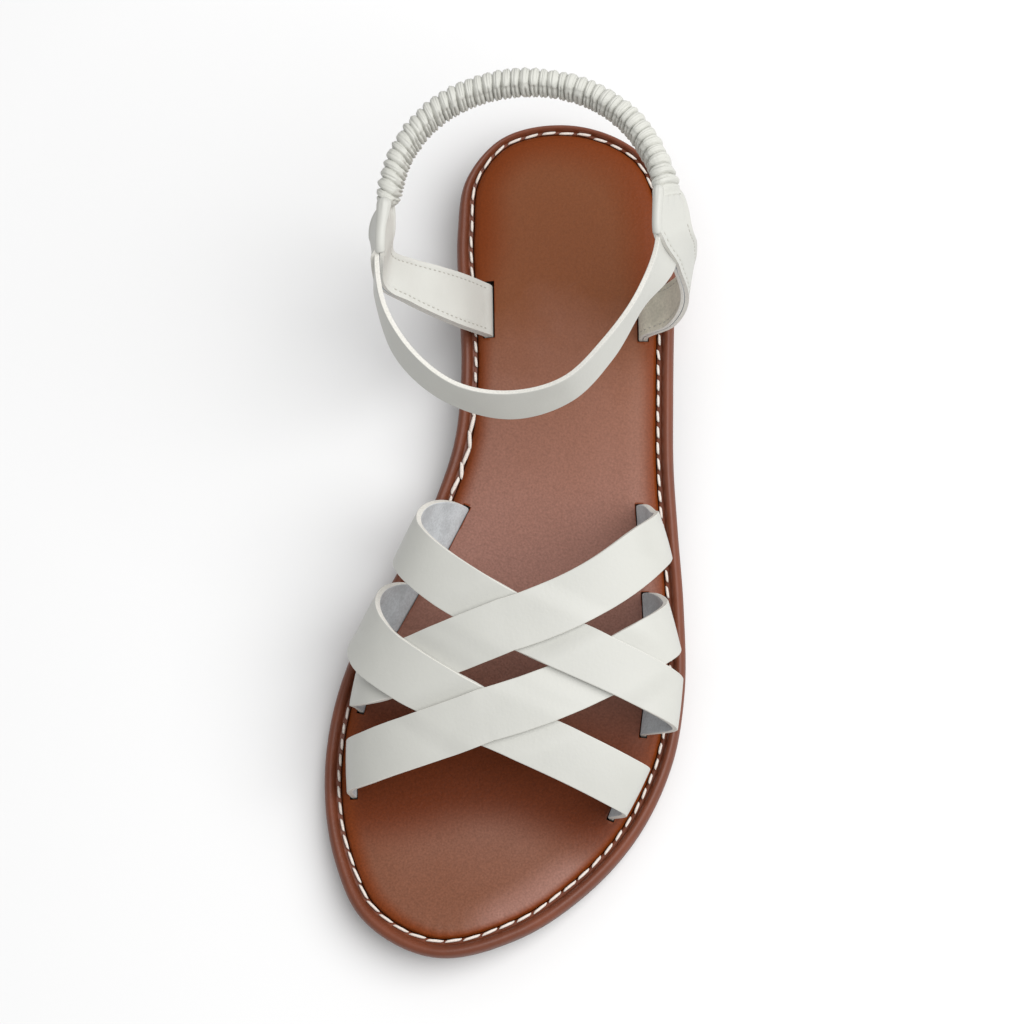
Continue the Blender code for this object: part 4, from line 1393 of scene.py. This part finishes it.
class SANDAL_OT_elastic(bpy.types.Operator):
    """Ruched leather tube over the elastic round the heel"""

    bl_idname = "sandal.elastic"
    bl_label = "Elastic ankle strap"

    def execute(self, context):
        pleats = context.scene.sandal_sizes.pleat_count
        chance = np.random.default_rng(7)
        drift = chance.uniform(-1, 1, (pleats + 2 * PLEAT_SPARE, 6))
        stay, swing, slant = PLEAT_WANDER

        def crease(pleat, angle, along):
            own = drift[pleat + PLEAT_SPARE]
            lean = PLEAT_LEAN * (1 - smoothstep(*PLEAT_LEAN_ZONE, along)) * np.sin(angle)
            wander = swing * own[:, 1] * np.cos(angle) + slant * own[:, 2] * np.sin(angle)
            return pleat + stay * own[:, 0] + wander - lean

        def place(along, around):
            spot = (1 + 2 * GATHER_OVERRUN) * along - GATHER_OVERRUN
            upper, lower = band_edges(ELASTIC_ROWS, spot)
            up = unit(upper - lower)
            half = np.linalg.norm(upper - lower, axis=1) / 2
            low = np.array(band_edges(ELASTIC_ROWS, spot - BAND_STEP / 2)).mean(axis=0)
            high = np.array(band_edges(ELASTIC_ROWS, spot + BAND_STEP / 2)).mean(axis=0)
            inner = unit(np.cross(unit(high - low), up))
            angle = 2 * np.pi * around
            count = along * pleats
            pleat = np.floor(count).astype(int)
            early = count < crease(pleat, angle, along)
            pleat = pleat - early + (count >= crease(pleat + 1, angle, along))
            start = crease(pleat, angle, along)
            stop = crease(pleat + 1, angle, along)
            phase = np.clip((count - start) / (stop - start), 0, 1)
            own = drift[pleat + PLEAT_SPARE]
            crest = np.sqrt(1 - (2 * phase - 1) ** 2)
            tip = smoothstep(*FORK_START, np.sin(angle)) * smoothstep(*FORK_END, np.sin(angle))
            fork = np.zeros(len(phase))
            for deep, vary, where, shift, whose in FORKS:
                apart = (phase - where - shift * own[:, whose]) / FORK_WIDTH
                fork += (deep + vary * own[:, 3]) * np.exp(-apart ** 2)
            fork *= tip
            stray = INNER_STRAY * own[:, 4]
            inside = smoothstep(*NUB_START, angle + stray) * (1 - smoothstep(*NUB_END, angle))
            skew = NUB_SKEW * own[:, 3] * np.sin(np.pi * phase)
            nub = np.abs(np.sin(2 * np.pi * phase + skew)) ** NUB_ROUNDNESS
            bend = RIPPLE_BEND * np.sin(angle + RIPPLE_BEND * own[:, 2])
            ripple = RIPPLE * np.cos(2 * np.pi * (RIPPLE_TURNS * phase + own[:, 1]) + bend)
            uneven = 1 + PLEAT_UNEVEN * own[:, 5]
            end = smoothstep(0.0, GATHER_RISE, np.minimum(along, 1 - along))
            pinch = PINCH_DEPTH * np.exp(-((angle - PINCH_ANGLE - stray) / PINCH_WIDTH) ** 2)
            main = crest * uneven * (1 - INNER_LOSS * inside)
            fold = main + NUB_HEIGHT * nub * inside + ripple * crest
            thick = TUBE_END + end * (TUBE_BASE + TUBE_PLEAT * (fold - fork - pinch))
            tall = half - TUBE_TOP + end * TUBE_TOP * (fold - fork)
            lift = np.sign(np.cos(angle)) * np.abs(np.cos(angle)) ** TUBE_SQUARENESS
            out = np.sign(np.sin(angle)) * np.abs(np.sin(angle)) ** TUBE_SQUARENESS
            return (upper + lower) / 2 + up * (tall * lift)[:, None] + inner * (thick * out)[:, None]

        shape = sheet(1408, 60, place)
        bmesh.ops.holes_fill(shape, edges=shape.edges, sides=0)
        bmesh.ops.recalc_face_normals(shape, faces=shape.faces)
        # Painted light: a little lighter than the straps' leather, to lift its shaded side
        leather = grained_leather("ruched_white_leather", context.scene.sandal_colours.gathers,
                                  roughness=0.55, grain=0.8, depth=0.14, shade=0.93)
        put("ankle_strap_elastic", shape, "ankle_strap_elastic", [leather], ALL_SMOOTH)
        return {"FINISHED"}


class SANDAL_OT_stage(bpy.types.Operator):
    """Pale floor, soft light and the camera"""

    bl_idname = "sandal.stage"
    bl_label = "Stage"

    def execute(self, context):
        scene = context.scene
        stage = scene.sandal_stage
        shape = bmesh.new()
        bmesh.ops.create_grid(shape, x_segments=1, y_segments=1, size=FLOOR_HALF)
        paper = studio_paper("studio_paper", scene.sandal_colours.floor)
        floor = link_mesh("floor", shape, [paper])
        self.camera(scene, stage)
        self.lights(scene, stage)
        return {"FINISHED"}

    def camera(self, scene, stage):
        """Camera turned about the sandal's middle."""
        target = Vector(to_metres(CAMERA_TARGET))
        level = math.cos(stage.elevation)
        back = Vector((math.sin(stage.azimuth) * level, -math.cos(stage.azimuth) * level,
                       math.sin(stage.elevation)))
        right = Vector((0.0, 0.0, 1.0)).cross(back).normalized()
        up = back.cross(right)
        turned = right * math.cos(stage.roll) + up * math.sin(stage.roll)
        axes = Matrix((turned, back.cross(turned), back)).transposed().to_4x4()
        lens = bpy.data.cameras.new("camera")
        lens.lens = stage.lens
        lens.sensor_width = SENSOR_WIDTH
        lens.clip_start = NEAREST_SEEN
        camera = bpy.data.objects.new("camera", lens)
        camera.matrix_world = Matrix.Translation(target + back * stage.distance) @ axes
        scene.collection.objects.link(camera)
        scene.camera = camera

    def lights(self, scene, stage):
        """Large softbox from the lateral side, in an even white room."""
        softbox = bpy.data.lights.new("softbox", "AREA")
        softbox.shape = "DISK"
        softbox.size = SOFTBOX_SIZE
        softbox.energy = stage.key_power
        lamp = bpy.data.objects.new("softbox", softbox)
        lamp.location = SOFTBOX_PLACE
        lamp.rotation_euler = (-lamp.location).to_track_quat("-Z", "Y").to_euler()
        scene.collection.objects.link(lamp)
        room = bpy.data.worlds.new("white_room")
        room.use_nodes = True
        set_inputs(room.node_tree, room.node_tree.nodes["Background"],
                   {"Color": (1.0, 1.0, 1.0, 1.0), "Strength": stage.room_light})
        scene.world = room
        scene.view_settings.view_transform = "Standard"


class SANDAL_PT_pieces(bpy.types.Panel):
    """Operators and settings of the sandal"""

    bl_idname = "SANDAL_PT_pieces"
    bl_label = "Roman sandal"
    bl_space_type = "VIEW_3D"
    bl_region_type = "UI"
    bl_category = "Sandal"

    def draw(self, context):
        for piece in PIECES:
            self.layout.operator(piece.bl_idname)
        scene = context.scene
        for group in (scene.sandal_sizes, scene.sandal_colours, scene.sandal_stage):
            box = self.layout.box()
            for key in group.bl_rna.properties.keys():
                if key not in ("rna_type", "name"):
                    box.prop(group, key)


PIECES = (
    SANDAL_OT_outsole,
    SANDAL_OT_rim,
    SANDAL_OT_footbed,
    SANDAL_OT_sole_stitching,
    SANDAL_OT_forefoot_straps,
    SANDAL_OT_heel_tabs,
    SANDAL_OT_front_strap,
    SANDAL_OT_elastic,
    SANDAL_OT_stage,
)
CLASSES = (SandalSizes, SandalColours, SandalStage) + PIECES + (SANDAL_PT_pieces,)


def register():
    """Adds the classes and the scene's settings."""
    for kind in CLASSES:
        bpy.utils.register_class(kind)
    bpy.types.Scene.sandal_sizes = bpy.props.PointerProperty(type=SandalSizes)
    bpy.types.Scene.sandal_colours = bpy.props.PointerProperty(type=SandalColours)
    bpy.types.Scene.sandal_stage = bpy.props.PointerProperty(type=SandalStage)


def unregister():
    """Removes what register added."""
    del bpy.types.Scene.sandal_stage
    del bpy.types.Scene.sandal_colours
    del bpy.types.Scene.sandal_sizes
    for kind in reversed(CLASSES):
        bpy.utils.unregister_class(kind)


def main():
    """Makes every piece and the stage."""
    register()
    bpy.ops.sandal.outsole()
    bpy.ops.sandal.rim()
    bpy.ops.sandal.footbed()
    bpy.ops.sandal.sole_stitching()
    bpy.ops.sandal.forefoot_straps()
    bpy.ops.sandal.heel_tabs()
    bpy.ops.sandal.front_strap()
    bpy.ops.sandal.elastic()
    bpy.ops.sandal.stage()
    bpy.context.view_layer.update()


if __name__ == "__main__":
    main()
